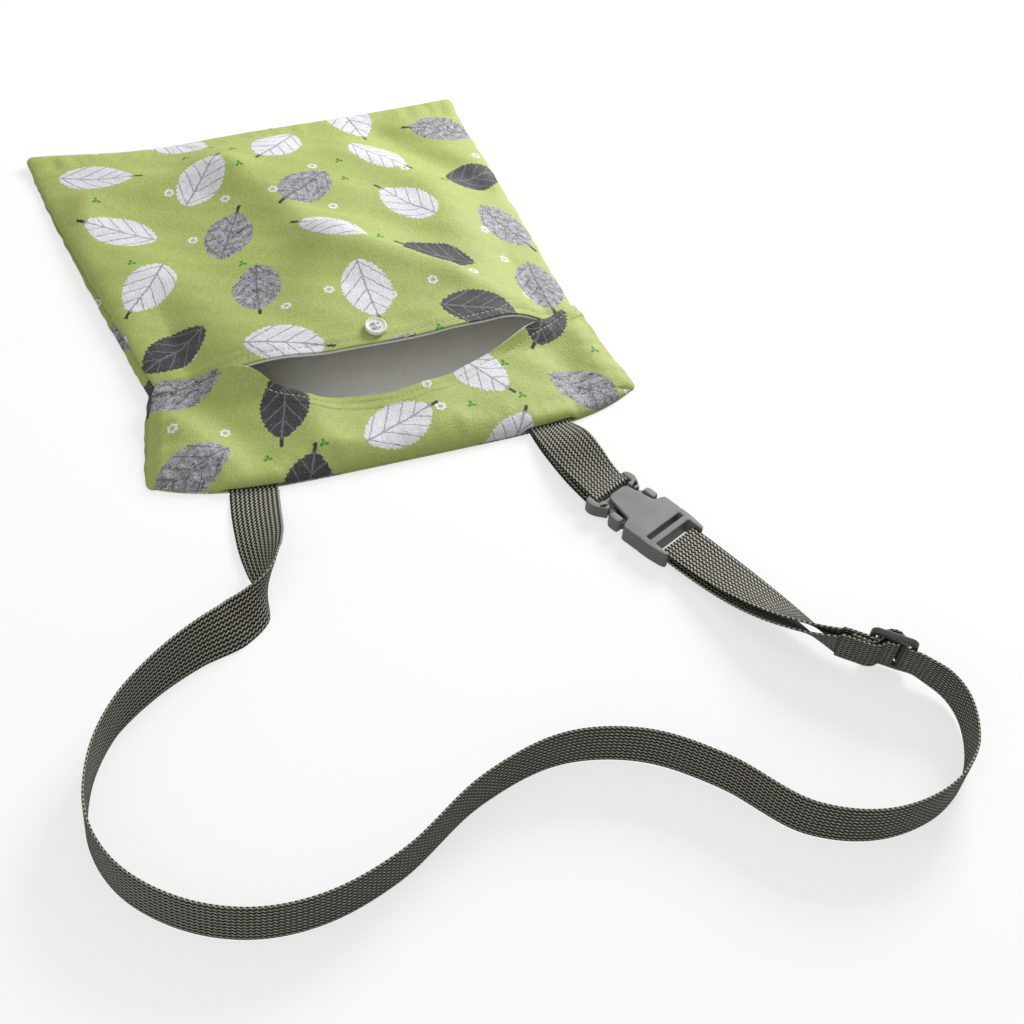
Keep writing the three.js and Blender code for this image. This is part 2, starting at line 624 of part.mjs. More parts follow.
// The webbing's weave through the slider, as places along it and to its side: the running layer passes
// behind the centre bar, the returning layer turns round that bar and its tail comes out in between.
const barSide = SLIDER_THICK / 2 + wrapGap;
const layerStep = STRAP_THICK + 2 * STRAP_GAP;
const slotMiddle = (outerStart + centreHalf) / 2;
const behindWrap = -barSide - layerStep - STRAP_GAP;
const straightEnd = sliderHalf + SEWN_LENGTH;
const returnSide = barSide + 2 * layerStep + STRAP_GAP;
const runningWeave = [
  [-sliderHalf, barSide], [STRAP_GAP - outerStart, barSide], [-slotMiddle - wrapGap, STRAP_GAP],
  [-2 * centreHalf, behindWrap + STRAP_THICK], [-centreHalf, behindWrap], [centreHalf, behindWrap],
  [slotMiddle - wrapGap, behindWrap + STRAP_THICK], [outerStart - layerStep, -STRAP_GAP],
  [outerStart - wrapGap, barSide - wrapGap], [outerStart, barSide + STRAP_GAP], [sliderHalf, barSide],
];
const tailWeave = [
  [centreHalf, -barSide], [2 * centreHalf, STRAP_THICK / 2 - barSide], [slotMiddle, 2 * STRAP_GAP],
  [outerStart - layerStep - STRAP_GAP, barSide + STRAP_GAP],
  [outerStart, barSide + layerStep + STRAP_GAP], [straightEnd - STRAP_GAP, barSide + layerStep],
];
const returnWeave = [
  [sliderHalf, returnSide], [outerStart, returnSide],
  [slotMiddle, barSide + layerStep + wrapGap], [1.5 * centreHalf, barSide + STRAP_GAP],
];

// One layer of the doubled stretch between buckle and slider, twisting a quarter turn on the way.
function doubledStretch(steps, layer) {
  const start = onBuckle(socketBarX, barHeight);
  const end = onSlider(straightEnd, (barSide + returnSide) / 2);
  const pull = start.distanceTo(end) / 3;
  const leaving = start.clone().addScaledVector(buckleForward, pull);
  const arriving = end.clone().addScaledVector(sliderForward, pull);
  const curve = new THREE.CubicBezierCurve3(start, leaving, arriving, end);
  const stations = [];
  for (let step = 1; step <= steps; step += 1) {
    const at = step / steps;
    const heading = curve.getTangent(at);
    const turn = at ** TWIST_DELAY * (Math.PI / 2 - sliderLean);
    const front = new THREE.Vector3().crossVectors(heading, UP).normalize();
    const rise = new THREE.Vector3().crossVectors(front, heading);
    const across = front.clone().multiplyScalar(Math.cos(turn)).addScaledVector(rise, Math.sin(turn));
    const normal = new THREE.Vector3().crossVectors(across, heading);
    const taut = THREE.MathUtils.lerp(SOCKET_BAR_HEIGHT / 2 + wrapGap, (returnSide - barSide) / 2, at);
    const apart = taut + LOOP_SPREAD * Math.sin(Math.PI * at);
    stations.push({ centre: curve.getPoint(at).addScaledVector(normal, layer * apart), across });
  }
  return stations;
}

// The long strap: one webbing from the left root, through the slider, round the socket's bar and back.
function buildLongStrap() {
  const across = sliderUp;
  const upright = (places) => places.map(([along, side]) => ({ centre: onSlider(along, side), across }));
  const front = buckleSide.clone().negate();
  const socketTurn = roundBar(socketBarX, halfTurn(SOCKET_BAR / 2, SOCKET_BAR_HEIGHT / 2, -1), front);
  const centreTurn = halfTurn(centreHalf, SLIDER_THICK / 2, -1);
  const outward = [...freeRun(strapRoot(LEFT_ROOT_X, CLOTH), 3), ...upright(runningWeave)];
  const loop = [...doubledStretch(14, 1).reverse(), ...socketTurn, ...doubledStretch(14, -1)];
  const wrap = upright([...returnWeave, ...centreTurn, ...tailWeave]);
  const stations = [...outward, ...loop, ...wrap];
  addPiece('strap_long', webbing(sectionsAlong(stations)), WEBBING);
}

// The short strap: webbing doubled round the plug's bar, both ends sewn into the seam. Between them it
// arches up and rolls towards its left.
function buildShortStrap() {
  const root = strapRoot(RIGHT_ROOT_X, STRAP_THICK + 2 * STRAP_GAP);
  const bar = onBuckle(plugBarX, barHeight);
  const reach = root.distanceTo(bar);
  const leaving = root.clone().add(new THREE.Vector3(0, -reach / 3, (bar.z - root.z) / 3));
  const arriving = bar.clone().addScaledVector(buckleForward, -reach / 3);
  arriving.z = leaving.z + (bar.z - root.z) / 3;
  const curve = new THREE.CubicBezierCurve3(root, leaving, arriving, bar);
  const hump = (at) => Math.sin(Math.PI * at) ** 1.3;
  const layerAt = (at, layer) => {
    const arch = layer > 0 ? UPPER_ARCH : LOWER_ARCH;
    const middle = (place) => curve.getPoint(place).addScaledVector(UP, arch * hump(place));
    const roll = THREE.MathUtils.degToRad(SHORT_STRAP_ROLL) * hump(at) * (1 - at ** 4) ** 2;
    const across = new THREE.Vector3(1, 0, 0).lerp(buckleSide, smooth(at, 0, 1)).normalize();
    across.multiplyScalar(Math.cos(roll)).addScaledVector(UP, Math.sin(roll));
    const heading = middle(at + 0.01).sub(middle(Math.max(0, at - 0.01)));
    const normal = new THREE.Vector3().crossVectors(heading, across).normalize();
    const apart = THREE.MathUtils.lerp((STRAP_THICK + STRAP_GAP) / 2, PLUG_BAR_HEIGHT / 2 + wrapGap, at);
    return { centre: middle(at).addScaledVector(normal, layer * apart), across };
  };
  const last = 1 - BAR_LEAD / reach;
  const places = [0, 0.03, 0.09, 0.17, 0.25, 0.34, 0.43, 0.52, 0.61, 0.7, 0.78, 0.86, last];
  const turn = roundBar(plugBarX, halfTurn(PLUG_BAR / 2, PLUG_BAR_HEIGHT / 2, 1), buckleSide);
  const upper = places.map((at) => layerAt(at, 1));
  const lower = places.map((at) => layerAt(at, -1)).reverse();
  const stations = [...upper, ...turn, ...lower];
  addPiece('strap_short', webbing(sectionsAlong(stations)), WEBBING);
}

// Row of stitching that holds the strap's tail to the returning layer.
function buildTailStitch() {
  const face = returnSide + STRAP_THICK / 2 + STRAP_GAP;
  const stitch = new THREE.BoxGeometry(STITCH_WIDTH, TAIL_STITCH_LENGTH, STITCH_THICK);
  const group = new THREE.Group();
  group.quaternion.copy(sliderTurn);
  group.position.copy(onSlider(straightEnd - SEWN_LENGTH / 2, face + STITCH_THICK / 2));
  object.add(group);
  addPiece('tail_stitch', stitch, STRAP_THREAD, group);
}

// Slider: an upright plate with two slots either side of its centre bar.
const sliderTurn = new THREE.Quaternion().setFromRotationMatrix(
  new THREE.Matrix4().makeBasis(sliderForward, sliderUp, sliderSide.clone().negate()),
);

function buildSlider() {
  const plate = roundedRectangle(2 * sliderHalf, sliderHeight, SLIDER_CORNER);
  let solid = prism(plate, -SLIDER_THICK / 2, SLIDER_THICK / 2);
  for (const side of [-1, 1]) {
    const near = Math.min(side * centreHalf, side * outerStart);
    const far = Math.max(side * centreHalf, side * outerStart);
    const slot = box([near, -slotHalf, -SLIDER_THICK], [far, slotHalf, SLIDER_THICK]);
    solid = solid.subtract(slot);
  }
  const group = new THREE.Group();
  group.quaternion.copy(sliderTurn);
  group.position.copy(onSlider(0, 0));
  object.add(group);
  addPiece('slider', geometryOf(solid), DARK_PLASTIC, group);
}

// An outline through corners given as x, y and rounding.
function outline(corners) {
  const shape = new THREE.Shape();
  corners.forEach(([x, y, rounding], at) => {
    const here = new THREE.Vector2(x, y);
    const towards = (corner) => {
      const edge = new THREE.Vector2(corner[0], corner[1]).sub(here);
      return edge.setLength(Math.min(rounding, 0.45 * edge.length())).add(here);
    };
    const enter = towards(corners[(at + corners.length - 1) % corners.length]);
    const leave = towards(corners[(at + 1) % corners.length]);
    if (at === 0) shape.moveTo(enter.x, enter.y);
    else shape.lineTo(enter.x, enter.y);
    shape.quadraticCurveTo(x, y, leave.x, leave.y);
  });
  shape.closePath();
  return shape;
}

// A full outline from the corners of its lower half, from left to right.
const mirrored = (corners) => outline([
  ...corners, ...corners.map(([x, y, rounding]) => [x, -y, rounding]).reverse(),
]);

// Socket: two tapered plates joined by side walls, with pockets for the barbs, a ladder slot and an end bar.
function buildSocket(group) {
  const shape = mirrored([
    [0, -TONGUE_NOSE_WIDTH / 2, 3], [TONGUE_LENGTH, -TONGUE_ROOT_WIDTH / 2, 0.8],
    [shoulderX, -buckleHalf, 2], [strapSlotStart, -buckleHalf, 4],
    [socketEnd, END_TAPER - buckleHalf, 2],
  ]);
  const pocketHalf = buckleHalf - POCKET_WALL;
  const below = FLOOR_GAP - CUT_PAST;
  const above = buckleTop + CUT_PAST;
  const ladderEnd = ladderStart + LADDER_SLOT;
  const barStart = socketBarStart - CUT_PAST;
  const past = socketEnd + CUT_PAST;
  const barLow = barHeight - SOCKET_BAR_HEIGHT / 2;
  const barTop = barHeight + SOCKET_BAR_HEIGHT / 2;
  const cuts = [
    box([-CUT_PAST, -throatHalf, cavityLow], [pocketEnd, throatHalf, cavityHigh]),
    box([pocketStart, -pocketHalf, cavityLow], [pocketEnd, pocketHalf, cavityHigh]),
    box([ladderStart, -slotHalf, below], [ladderEnd, slotHalf, above]),
    box([strapSlotStart, -slotHalf, below], [socketBarStart, slotHalf, above]),
    box([barStart, -slotHalf, barTop], [past, slotHalf, above]),
    box([barStart, -slotHalf, below], [past, slotHalf, barLow]),
  ];
  const grooveEnd = pocketEnd + GROOVE_WIDTH;
  for (const side of [-1, 1]) {
    const reach = [side * (buckleHalf - GROOVE_DEPTH), side * (buckleHalf + CUT_PAST)].sort((a, b) => a - b);
    cuts.push(box([pocketEnd, reach[0], below], [grooveEnd, reach[1], above]));
  }
  const solid = cuts.reduce((whole, cut) => whole.subtract(cut), prism(shape, FLOOR_GAP, buckleTop));
  addPiece('buckle_socket', geometryOf(solid), GREY_PLASTIC, group);
}

// Plug frame: a rounded frame round the webbing slot, cradles for the prongs and a guide down the middle.
function buildPlugFrame(group) {
  const low = barHeight - FRAME_THICK / 2;
  const high = barHeight + FRAME_THICK / 2;
  const shape = mirrored([
    [frameEnd, END_TAPER - frameHalf, 3], [crossStart - 1, -frameHalf, 5],
    [crossEnd, -pivotY - PRONG_ROOT_RADIUS, 1],
  ]);
  const plateHalf = TONGUE_ROOT_WIDTH / 2 - FIT_GAP;
  const below = low - CUT_PAST;
  const above = high + CUT_PAST;
  const barLow = barHeight - PLUG_BAR_HEIGHT / 2;
  const barTop = barHeight + PLUG_BAR_HEIGHT / 2;
  const barStart = frameEnd - CUT_PAST;
  const barEnd = plugSlotStart + CUT_PAST;
  const plateStart = crossStart - CUT_PAST;
  const plateEnd = crossEnd + CUT_PAST;
  const cuts = [
    box([plugSlotStart, -slotHalf, below], [crossStart, slotHalf, above]),
    box([barStart, -slotHalf, barTop], [barEnd, slotHalf, above]),
    box([barStart, -slotHalf, below], [barEnd, slotHalf, barLow]),
    box([plateStart, -plateHalf, plugHigh], [plateEnd, plateHalf, above]),
    box([plateStart, -plateHalf, below], [plateEnd, plateHalf, plugLow]),
  ];
  const cradleRadius = PRONG_ROOT_RADIUS + STRAP_GAP;
  for (const side of [-1, 1]) {
    const cradle = new THREE.CylinderGeometry(cradleRadius, cradleRadius, 2 * BUCKLE_THICK, 16);
    cuts.push(solidOf(cradle.rotateX(Math.PI / 2).translate(pivotX, side * pivotY, barHeight)));
    const inner = side * (pivotY - PRONG_ROOT_RADIUS);
    const outer = side * (frameHalf - 2 * WINDOW_WALL);
    const start = crossStart + WINDOW_WALL;
    const end = crossEnd - 2 * WINDOW_WALL;
    const window = [[start, outer, 0.4], [end, inner, 0.4], [end, outer - side * WINDOW_WALL, 0.4]];
    cuts.push(prism(outline(side > 0 ? window.reverse() : window), below, above));
  }
  const guideHalf = GUIDE_WIDTH / 2;
  const guideEnd = pocketEnd - GUIDE_STOP;
  const guide = box([crossEnd - CUT_PAST, -guideHalf, plugLow], [guideEnd, guideHalf, plugHigh]);
  const solid = cuts.reduce((whole, cut) => whole.subtract(cut), prism(shape, low, high)).add(guide);
  addPiece('plug_frame', geometryOf(solid), GREY_PLASTIC, group);
}

// Prong: a sprung arm from its round root past the squeeze pad to the barb in the socket's pocket.
function buildProng(name, side, group) {
  const armOuter = throatHalf - FIT_GAP;
  const armInner = armOuter - PRONG_ARM;
  const barbStart = pocketStart + FIT_GAP;
  const barbOuter = armOuter + BARB_DEPTH;
  const padEnd = TONGUE_LENGTH - PAD_SETBACK;
  const padStart = padEnd - PAD_LENGTH;
  const padReach = buckleHalf - PAD_INSET;
  const tip = pocketEnd - FIT_GAP;
  const rootInner = pivotY - PRONG_ROOT_RADIUS;
  const arm = [
    [pivotX, rootInner, 0.2], [padStart, armInner, 1], [tip, armInner, 0.6],
    [tip, armOuter - BARB_NOSE, 0.6], [barbStart + BARB_DEPTH, barbOuter, 0.6], [barbStart, barbOuter, 0.2],
    [barbStart, armOuter, 0.2], [padEnd + PAD_SETBACK, armOuter, 1], [padEnd, padReach, PAD_ROUNDING / 2],
    [padStart, padReach, PAD_ROUNDING], [pivotX, pivotY + PRONG_ROOT_RADIUS, 0.2],
  ];
  const pad = [
    [padStart, padReach - PAD_DEPTH, 0.4], [padEnd, padReach - PAD_DEPTH, 0.4],
    [padEnd, padReach, PAD_ROUNDING / 2], [padStart, padReach, PAD_ROUNDING],
  ];
  const place = (corners) => {
    const sided = corners.map(([x, y, rounding]) => [x, side * y, rounding]);
    return outline(side > 0 ? sided : sided.reverse());
  };
  const root = new THREE.CylinderGeometry(PRONG_ROOT_RADIUS, PRONG_ROOT_RADIUS, plugHigh - plugLow, 16);
  const solid = prism(place(arm), plugLow, plugHigh)
    .add(solidOf(root.rotateX(Math.PI / 2).translate(pivotX, side * pivotY, barHeight)))
    .add(prism(place(pad), barHeight - PAD_HEIGHT / 2, barHeight + PAD_HEIGHT / 2));
  addPiece(name, geometryOf(solid), GREY_PLASTIC, group);
}

function buildBuckle() {
  const group = new THREE.Group();
  group.position.set(BUCKLE_NOSE.x, BUCKLE_NOSE.y, 0);
  group.rotation.z = THREE.MathUtils.degToRad(BUCKLE_HEADING);
  object.add(group);
  buildSocket(group);
  buildPlugFrame(group);
  buildProng('prong_left', 1, group);
  buildProng('prong_right', -1, group);
}

buildBag();
buildHemStitches();
buildButton();
buildLongStrap();
buildShortStrap();
buildTailStitch();
buildSlider();
buildBuckle();

export default object;
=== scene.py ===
"""Looks of a peg bag worn at the waist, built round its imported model.

The pouch is two printed cotton panels and a band, lined with plain cotton, on a webbing strap with a
side-release buckle and a slider. Lengths are metres, +Z is up and the strap seam is towards -Y.
"""
import math
from functools import partial

import bpy
import numpy as np
from mathutils import Matrix, Vector


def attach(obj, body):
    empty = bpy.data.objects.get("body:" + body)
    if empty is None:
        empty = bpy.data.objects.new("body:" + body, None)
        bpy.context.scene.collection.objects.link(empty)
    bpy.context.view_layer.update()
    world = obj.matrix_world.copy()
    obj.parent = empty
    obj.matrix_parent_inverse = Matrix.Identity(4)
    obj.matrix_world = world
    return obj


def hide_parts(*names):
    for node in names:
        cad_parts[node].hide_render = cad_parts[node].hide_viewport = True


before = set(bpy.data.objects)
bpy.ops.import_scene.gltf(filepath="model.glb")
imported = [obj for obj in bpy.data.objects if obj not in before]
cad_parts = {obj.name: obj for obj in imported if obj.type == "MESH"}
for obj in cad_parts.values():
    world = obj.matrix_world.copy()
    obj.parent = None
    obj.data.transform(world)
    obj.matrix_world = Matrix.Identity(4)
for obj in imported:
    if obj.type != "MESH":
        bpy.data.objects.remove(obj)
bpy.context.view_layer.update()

bl_info = {
    "name": "Peg bag",
    "version": (1, 0, 0),
    "blender": (4, 5, 0),
    "location": "View3D > Sidebar > Peg bag",
    "description": "Builds the cloth, webbing, stitching and mouldings of a peg bag round its packed model",
    "category": "Object",
}

# Bag outline and layers, as in the part's source
HALF_WIDTH = 0.137
HALF_LENGTH = 0.1515
CORNER_RADIUS = 0.004
STRAP_SEAM_BOW = 0.016
BOTTOM_SEAM_BOW = 0.005
LEFT_WAIST = 0.017
RIGHT_WAIST = 0.011
WAIST_Y = -0.071
SEAM_LIFT = 0.007
STRAP_CORNER_Y = STRAP_SEAM_BOW - HALF_LENGTH
CLOTH = 0.001
LINING = 0.0006
LAYER_GAP = 0.0003
BAND_STACK = 0.0032

# Mouth and filling
FRONT_HEM_Y = -0.078
FRONT_HEM_BOW = 0.010
MOUTH_MIDDLE = 0.004
MOUTH_HALF = 0.104
FILL_RISE = 0.019
SIDE_RISE = 0.005
MOUTH_RISE = 0.0155
BAND_HEM = np.array([
    (-0.121, -0.071), (-0.104, -0.075), (-0.084, -0.080), (-0.066, -0.087), (-0.052, -0.098),
    (-0.034, -0.108), (0.000, -0.113), (0.036, -0.107), (0.054, -0.100), (0.076, -0.093),
    (0.090, -0.087), (0.102, -0.082), (0.114, -0.076), (0.128, -0.071),
])
HEM_STITCH_INSET = 0.004
BUTTON_PLACE = (0.002, -0.079)

# Bottom seam off the surface: its rise, how far that reaches in, and the dip where the front folds in
END_LIFT = 0.005
END_REACH = 0.038
END_DIP_X = -0.064
END_DIP_WIDTH = 0.045

# Soft folds: points along each, lift, width on its left and on its right
FRONT_FOLDS = (
    (((-0.024, 0.098), (-0.014, 0.078), (-0.005, 0.050), (0.001, 0.014)), 0.0054, 0.050, 0.020),
    (((-0.008, -0.018), (-0.016, -0.038), (-0.028, -0.058)), 0.0026, 0.040, 0.018),
    (((-0.080, 0.065), (-0.066, 0.030), (-0.062, -0.015)), -0.0050, 0.036, 0.036),
    (((-0.129, 0.079), (-0.111, 0.096), (-0.083, 0.102), (-0.060, 0.099), (-0.029, 0.097)),
     0.0030, 0.014, 0.014),
    (((0.045, 0.095), (0.070, 0.066), (0.083, 0.050), (0.082, 0.010)), 0.0030, 0.016, 0.016),
    (((0.078, 0.123), (0.094, 0.094), (0.110, 0.068), (0.122, 0.053)), -0.0032, 0.013, 0.013),
    (((0.008, 0.004), (0.021, -0.013), (0.039, -0.026), (0.057, -0.041)), 0.0042, 0.006, 0.024),
    (((0.010, 0.040), (0.034, 0.030), (0.052, 0.002), (0.070, -0.022)), -0.0026, 0.014, 0.014),
)
BAND_FOLDS = (
    (((-0.113, -0.080), (-0.093, -0.093), (-0.086, -0.115), (-0.077, -0.137)), -0.0028, 0.012, 0.012),
    (((-0.114, -0.103), (-0.103, -0.129), (-0.096, -0.149)), 0.0024, 0.012, 0.012),
    (((-0.052, -0.100), (-0.047, -0.115), (-0.045, -0.138)), 0.0026, 0.012, 0.012),
    (((0.020, -0.116), (0.030, -0.145)), 0.0012, 0.014, 0.014),
    (((0.091, -0.087), (0.101, -0.107), (0.104, -0.134)), -0.0024, 0.011, 0.011),
    (((0.120, -0.094), (0.126, -0.127)), 0.0015, 0.010, 0.010),
)

# Sharp crease from a fold to the mouth's right corner, written as a soft fold is
FRONT_CREASES = (
    (((0.024, -0.015), (0.057, -0.041), (0.078, -0.058), (0.092, -0.068)), 0.0016, 0.003, 0.014),
)

# Waves of loose cotton: height, wavelength, direction and phase
SLACK_WAVES = (
    (0.00035, 0.047, (1.0, 0.4), 0.6),
    (0.0003, 0.033, (-0.3, 1.0), 2.1),
    (0.00014, 0.022, (0.7, 1.0), 4.0),
)

# Seams and hems: left seam's inset, reach of the puckers, a seam's height and roll, hem, groove, stitches
LEFT_SEAM_INSET = 0.0035
PUCKER_SIDE = 0.16
PUCKER_END = 0.018
EDGE_WAVE = 0.0005
SEAM_STACK = 0.0011
SEAM_ROLL = 0.0012
SEAM_ROLL_REACH = 0.001
HEM_SLOPE = 0.0012
GROOVE_DEPTH = 0.0003
GROOVE_WIDTH = 0.0008
STITCHED_SHARE = 0.975
STITCH_SAMPLES = 1200
STITCH_CLEARANCE = 0.0001

# Spans over which one form fades into the next: shares of a panel, or lengths from its hem or seam
BACK_TURN_UP = 0.4
MOUTH_OPENS = (0.5, 0.9)
FRONT_SIDE_FADE = 0.16
FRONT_END_FADE = 0.03
FOLD_FADE = (0.012, 0.04)
CREASE_FADE = (0.002, 0.015)
BUTTON_HOLD = 0.016
BAND_ROLL = 0.35
BAND_OVER = (FRONT_HEM_Y - 0.022, FRONT_HEM_Y - 0.001)
BAND_SIDE_FADE = 0.14
BAND_ROOT_FADE = 0.3

# Webbing
STRAP_WIDTH = 0.025
STRAP_THICK = 0.0012
STRAP_GAP = 0.0003
LEFT_ROOT_X = -0.087
RIGHT_ROOT_X = 0.0775
ROOT_TUCK = 0.003
UPPER_ARCH = 0.0058
LOWER_ARCH = 0.0034
SHORT_STRAP_ROLL = math.radians(22)
BAR_LEAD = 0.0042
LEFT_ROOT_COVER = 0.0016
RIGHT_ROOT_COVER = 0.0031
COVER_SIDE = 0.006
COVER_DEPTH = 0.012
LOOP_SPREAD = 0.0003
TWIST_DELAY = 2.1

# Free run of the strap: x, y, height of the lower edge, edge angle in degrees (0 flat, 90 on edge)
STRAP_ROUTE = np.array([
    (-0.091, -0.168, 0.0015, 9), (-0.095, -0.188, 0.0020, 24), (-0.0985, -0.206, 0.0016, 49),
    (-0.1015, -0.221, 0.0008, 80), (-0.109, -0.2325, 0.0007, 112), (-0.123, -0.240, 0.0008, 124),
    (-0.142, -0.2475, 0.0008, 110), (-0.166, -0.260, 0.0005, 100), (-0.189, -0.278, 0.0003, 92),
    (-0.205, -0.302, 0.0003, 90), (-0.212, -0.330, 0.0003, 90), (-0.206, -0.356, 0.0003, 90),
    (-0.187, -0.379, 0.0003, 90), (-0.161, -0.393, 0.0003, 90), (-0.131, -0.396, 0.0003, 90),
    (-0.095, -0.387, 0.0003, 90), (-0.049, -0.363, 0.0003, 90), (-0.007, -0.354, 0.0003, 90),
    (0.029, -0.364, 0.0003, 90), (0.057, -0.388, 0.0003, 90), (0.082, -0.422, 0.0003, 90),
    (0.112, -0.436, 0.0003, 90), (0.145, -0.434, 0.0003, 90), (0.169, -0.4195, 0.0005, 91),
    (0.182, -0.396, 0.0010, 85), (0.1825, -0.3795, 0.0018, 79),
])

# Places on the buckle and the slider that the webbing passes
BUCKLE_NOSE = np.array((0.087, -0.212, 0.0))
BUCKLE_HEADING = math.radians(-66.5)
BAR_HEIGHT = 0.0053
SOCKET_BAR_X = 0.0452
SOCKET_BAR = 0.0036
SOCKET_BAR_HEIGHT = 0.0034
PLUG_BAR_X = -0.0056
PLUG_BAR = 0.0036
PLUG_BAR_HEIGHT = 0.004
SLIDER_PLACE = np.array((0.165, -0.353, 0.0166))
SLIDER_HEADING = math.radians(137)
SLIDER_LEAN = math.radians(17)
SLIDER_THICK = 0.0032
CENTRE_HALF = 0.0018
OUTER_START = 0.0086
SLIDER_HALF = 0.0116
SLIDER_BAR = 0.003
SEWN_LENGTH = 0.008
TAIL_STITCH_LENGTH = 0.020

# Camera: place, elevation, azimuth, roll and focal length in pixels of a 1024-pixel square picture
CAMERA_PLACE = (-0.2636, -0.73742, 0.62827)
CAMERA_ELEVATION = math.radians(45.73)
CAMERA_AZIMUTH = math.radians(-29.05)
CAMERA_ROLL = math.radians(8.77)
CAMERA_FOCAL = 1715.61
PICTURE_SIDE = 1024
SENSOR = 36.0

# Studio: each softbox's name, place, side and power, where they aim, and the surround, paper and its glow
SOFTBOXES = (
    ("key_softbox", (0.95, 0.55, 0.70), 0.6, 18.0),
    ("fill_softbox", (-0.9, -1.0, 0.7), 0.9, 4.2),
    ("top_softbox", (0.0, -0.1, 1.7), 1.6, 3.5),
)
LAMP_AIM = (0, -0.12, 0)
SURROUND_LIGHT = 0.25
PAPER_GREY = 0.38
GLOW_FROM_TO = (0.6, 2.0)
GLOW_NEAR_FAR = (0.66, 0.93)
FLOOR_REACH = 6.0

# Grids and steps: the panels, points along the webbing and round a stitch, and the mouldings
CLOTH_GRID = (221, 161)
LINING_GRID = (141, 101)
ROUTE_STEPS = 6
LOOP_STEPS = 24
CURVE_STEPS = 8
STEPS_PER_RADIAN = 6
FINE_STEP = 0.00045
COARSE_STEP = 0.002
GRAIN_RINGS = 7
GRAIN_SIDES = 8
RELAX_PASSES = 8
KEPT_FACES = 0.3
BUTTON_EDGE = 0.0002
THREAD_EDGE = 0.0003

# Print: a leaf's rough edge, notches and veins and the small marks, in millimetres, then shares of each kind
ROUGH_EDGE = 1.8
NOTCH_STEP = 2.856
NOTCH_DEPTH = 0.9
VEIN_STEP = 10.0
VEIN_SLANT = 1.1
MARK_CELL = 29.0
MARK_SHIFT = (11.0, 17.0, 0)
MARK_SCATTER = 16.0
RING_RADIUS = 2.1
PETAL_DEPTH = 0.35
TUFT_RADIUS = 3.0
GREY_FROM = 0.36
DARK_FROM = 0.66
RINGS_BELOW = 0.34
TUFTS_FROM = 0.70

TURN = 2 * math.pi
MILLIMETRES = 1000.0


def to_linear(code):
    """sRGB hex to linear light: c / 12.92 up to 0.04045, else ((c + 0.055) / 1.055) to the power 2.4."""
    srgb = np.array([int(code[at:at + 2], 16) for at in (1, 3, 5)]) / 255
    linear = np.where(srgb <= 0.04045, srgb / 12.92, ((srgb + 0.055) / 1.055) ** 2.4)
    return (*linear.tolist(), 1.0)


def colour(label, about, code):
    """A colour property whose default is an sRGB hex value."""
    return bpy.props.FloatVectorProperty(
        name=label, description=about, subtype="COLOR", size=4, min=0, max=1, default=to_linear(code))


def length(label, about, default):
    """A length property in metres."""
    return bpy.props.FloatProperty(
        name=label, description=about, default=default, min=0, unit="LENGTH", precision=5)


class PegBagCloth(bpy.types.PropertyGroup):
    """Sizes and colours of the cotton and its sewing."""

    fold_depth: bpy.props.FloatProperty(
        name="Fold depth", description="Share of the listed lift that each fold has",
        default=1.3, min=0, max=2)
    pucker: length("Pucker", "Height of the puckers beside the seams", 0.00045)
    hem_depth: length("Hem depth", "Width of the turned hem", 0.009)
    hem_step: length("Hem step", "Extra thickness of the turned hem", 0.0004)
    stitch_length: length("Stitch length", "Length of one stitch", 0.0021)
    stitch_pitch: length("Stitch pitch", "From one stitch to the next", 0.0030)
    stitch_width: length("Stitch width", "Width of one stitch", 0.0006)
    motif_cell: length("Motif spacing", "From one leaf to the next", 0.056)
    motif_length: length("Motif length", "Length of a printed leaf", 0.046)
    motif_width: length("Motif width", "Width of a printed leaf", 0.029)
    ground: colour("Ground", "Green ground of the print", "#b3c070")
    ground_shade: colour("Ground shade", "Second tone of the ground", "#a8b661")
    white_ink: colour("White ink", "Pale leaves and rings", "#e9e9ee")
    grey_ink: colour("Grey ink", "Mottled leaves", "#87878b")
    dark_ink: colour("Dark ink", "Charcoal leaves and stalks", "#1a1a1b")
    tuft_ink: colour("Tuft ink", "Small green marks", "#3f8a1c")
    lining: colour("Lining", "Plain lining", "#f7f5ee")
    hem_thread: colour("Hem thread", "Thread along the front hem", "#dfe4c8")
    band_thread: colour("Band thread", "Thread along the band's hem", "#cfe0a4")
    button_thread: colour("Button thread", "Thread that holds the button", "#f8f6f0")


class PegBagStrap(bpy.types.PropertyGroup):
    """Sizes and colours of the webbing and its mouldings."""

    rib_count: bpy.props.IntProperty(
        name="Ribs", description="Columns of thread across the webbing", default=11, min=3, max=20)
    rib_depth: length("Rib depth", "Relief of one column", 0.00016)
    weave_pitch: length("Weave pitch", "From one wave of the thread to the next", 0.0024)
    edge_radius: length("Edge radius", "Rounding of the moulded edges", 0.0006)
    thread_dark: colour("Dark thread", "Webbing between the floats", "#100f0b")
    thread_light: colour("Light thread", "Webbing floats", "#d9d6c4")
    tail_thread: colour("Tail thread", "Thread across the strap's tail", "#3a3830")
    grey_plastic: colour("Buckle", "Buckle plastic", "#747370")
    dark_plastic: colour("Slider", "Slider plastic", "#3c3b39")
    white_plastic: colour("Button", "Button plastic", "#faf9f4")


def smooth(value, low, high):
    """Smooth step from 0 at low to 1 at high: 3 t squared minus 2 t cubed."""
    share = np.clip((value - low) / (high - low), 0, 1)
    return share * share * (3 - 2 * share)


def unit(vectors):
    """Vectors scaled to length 1."""
    return vectors / np.maximum(np.linalg.norm(vectors, axis=-1, keepdims=True), 1e-12)


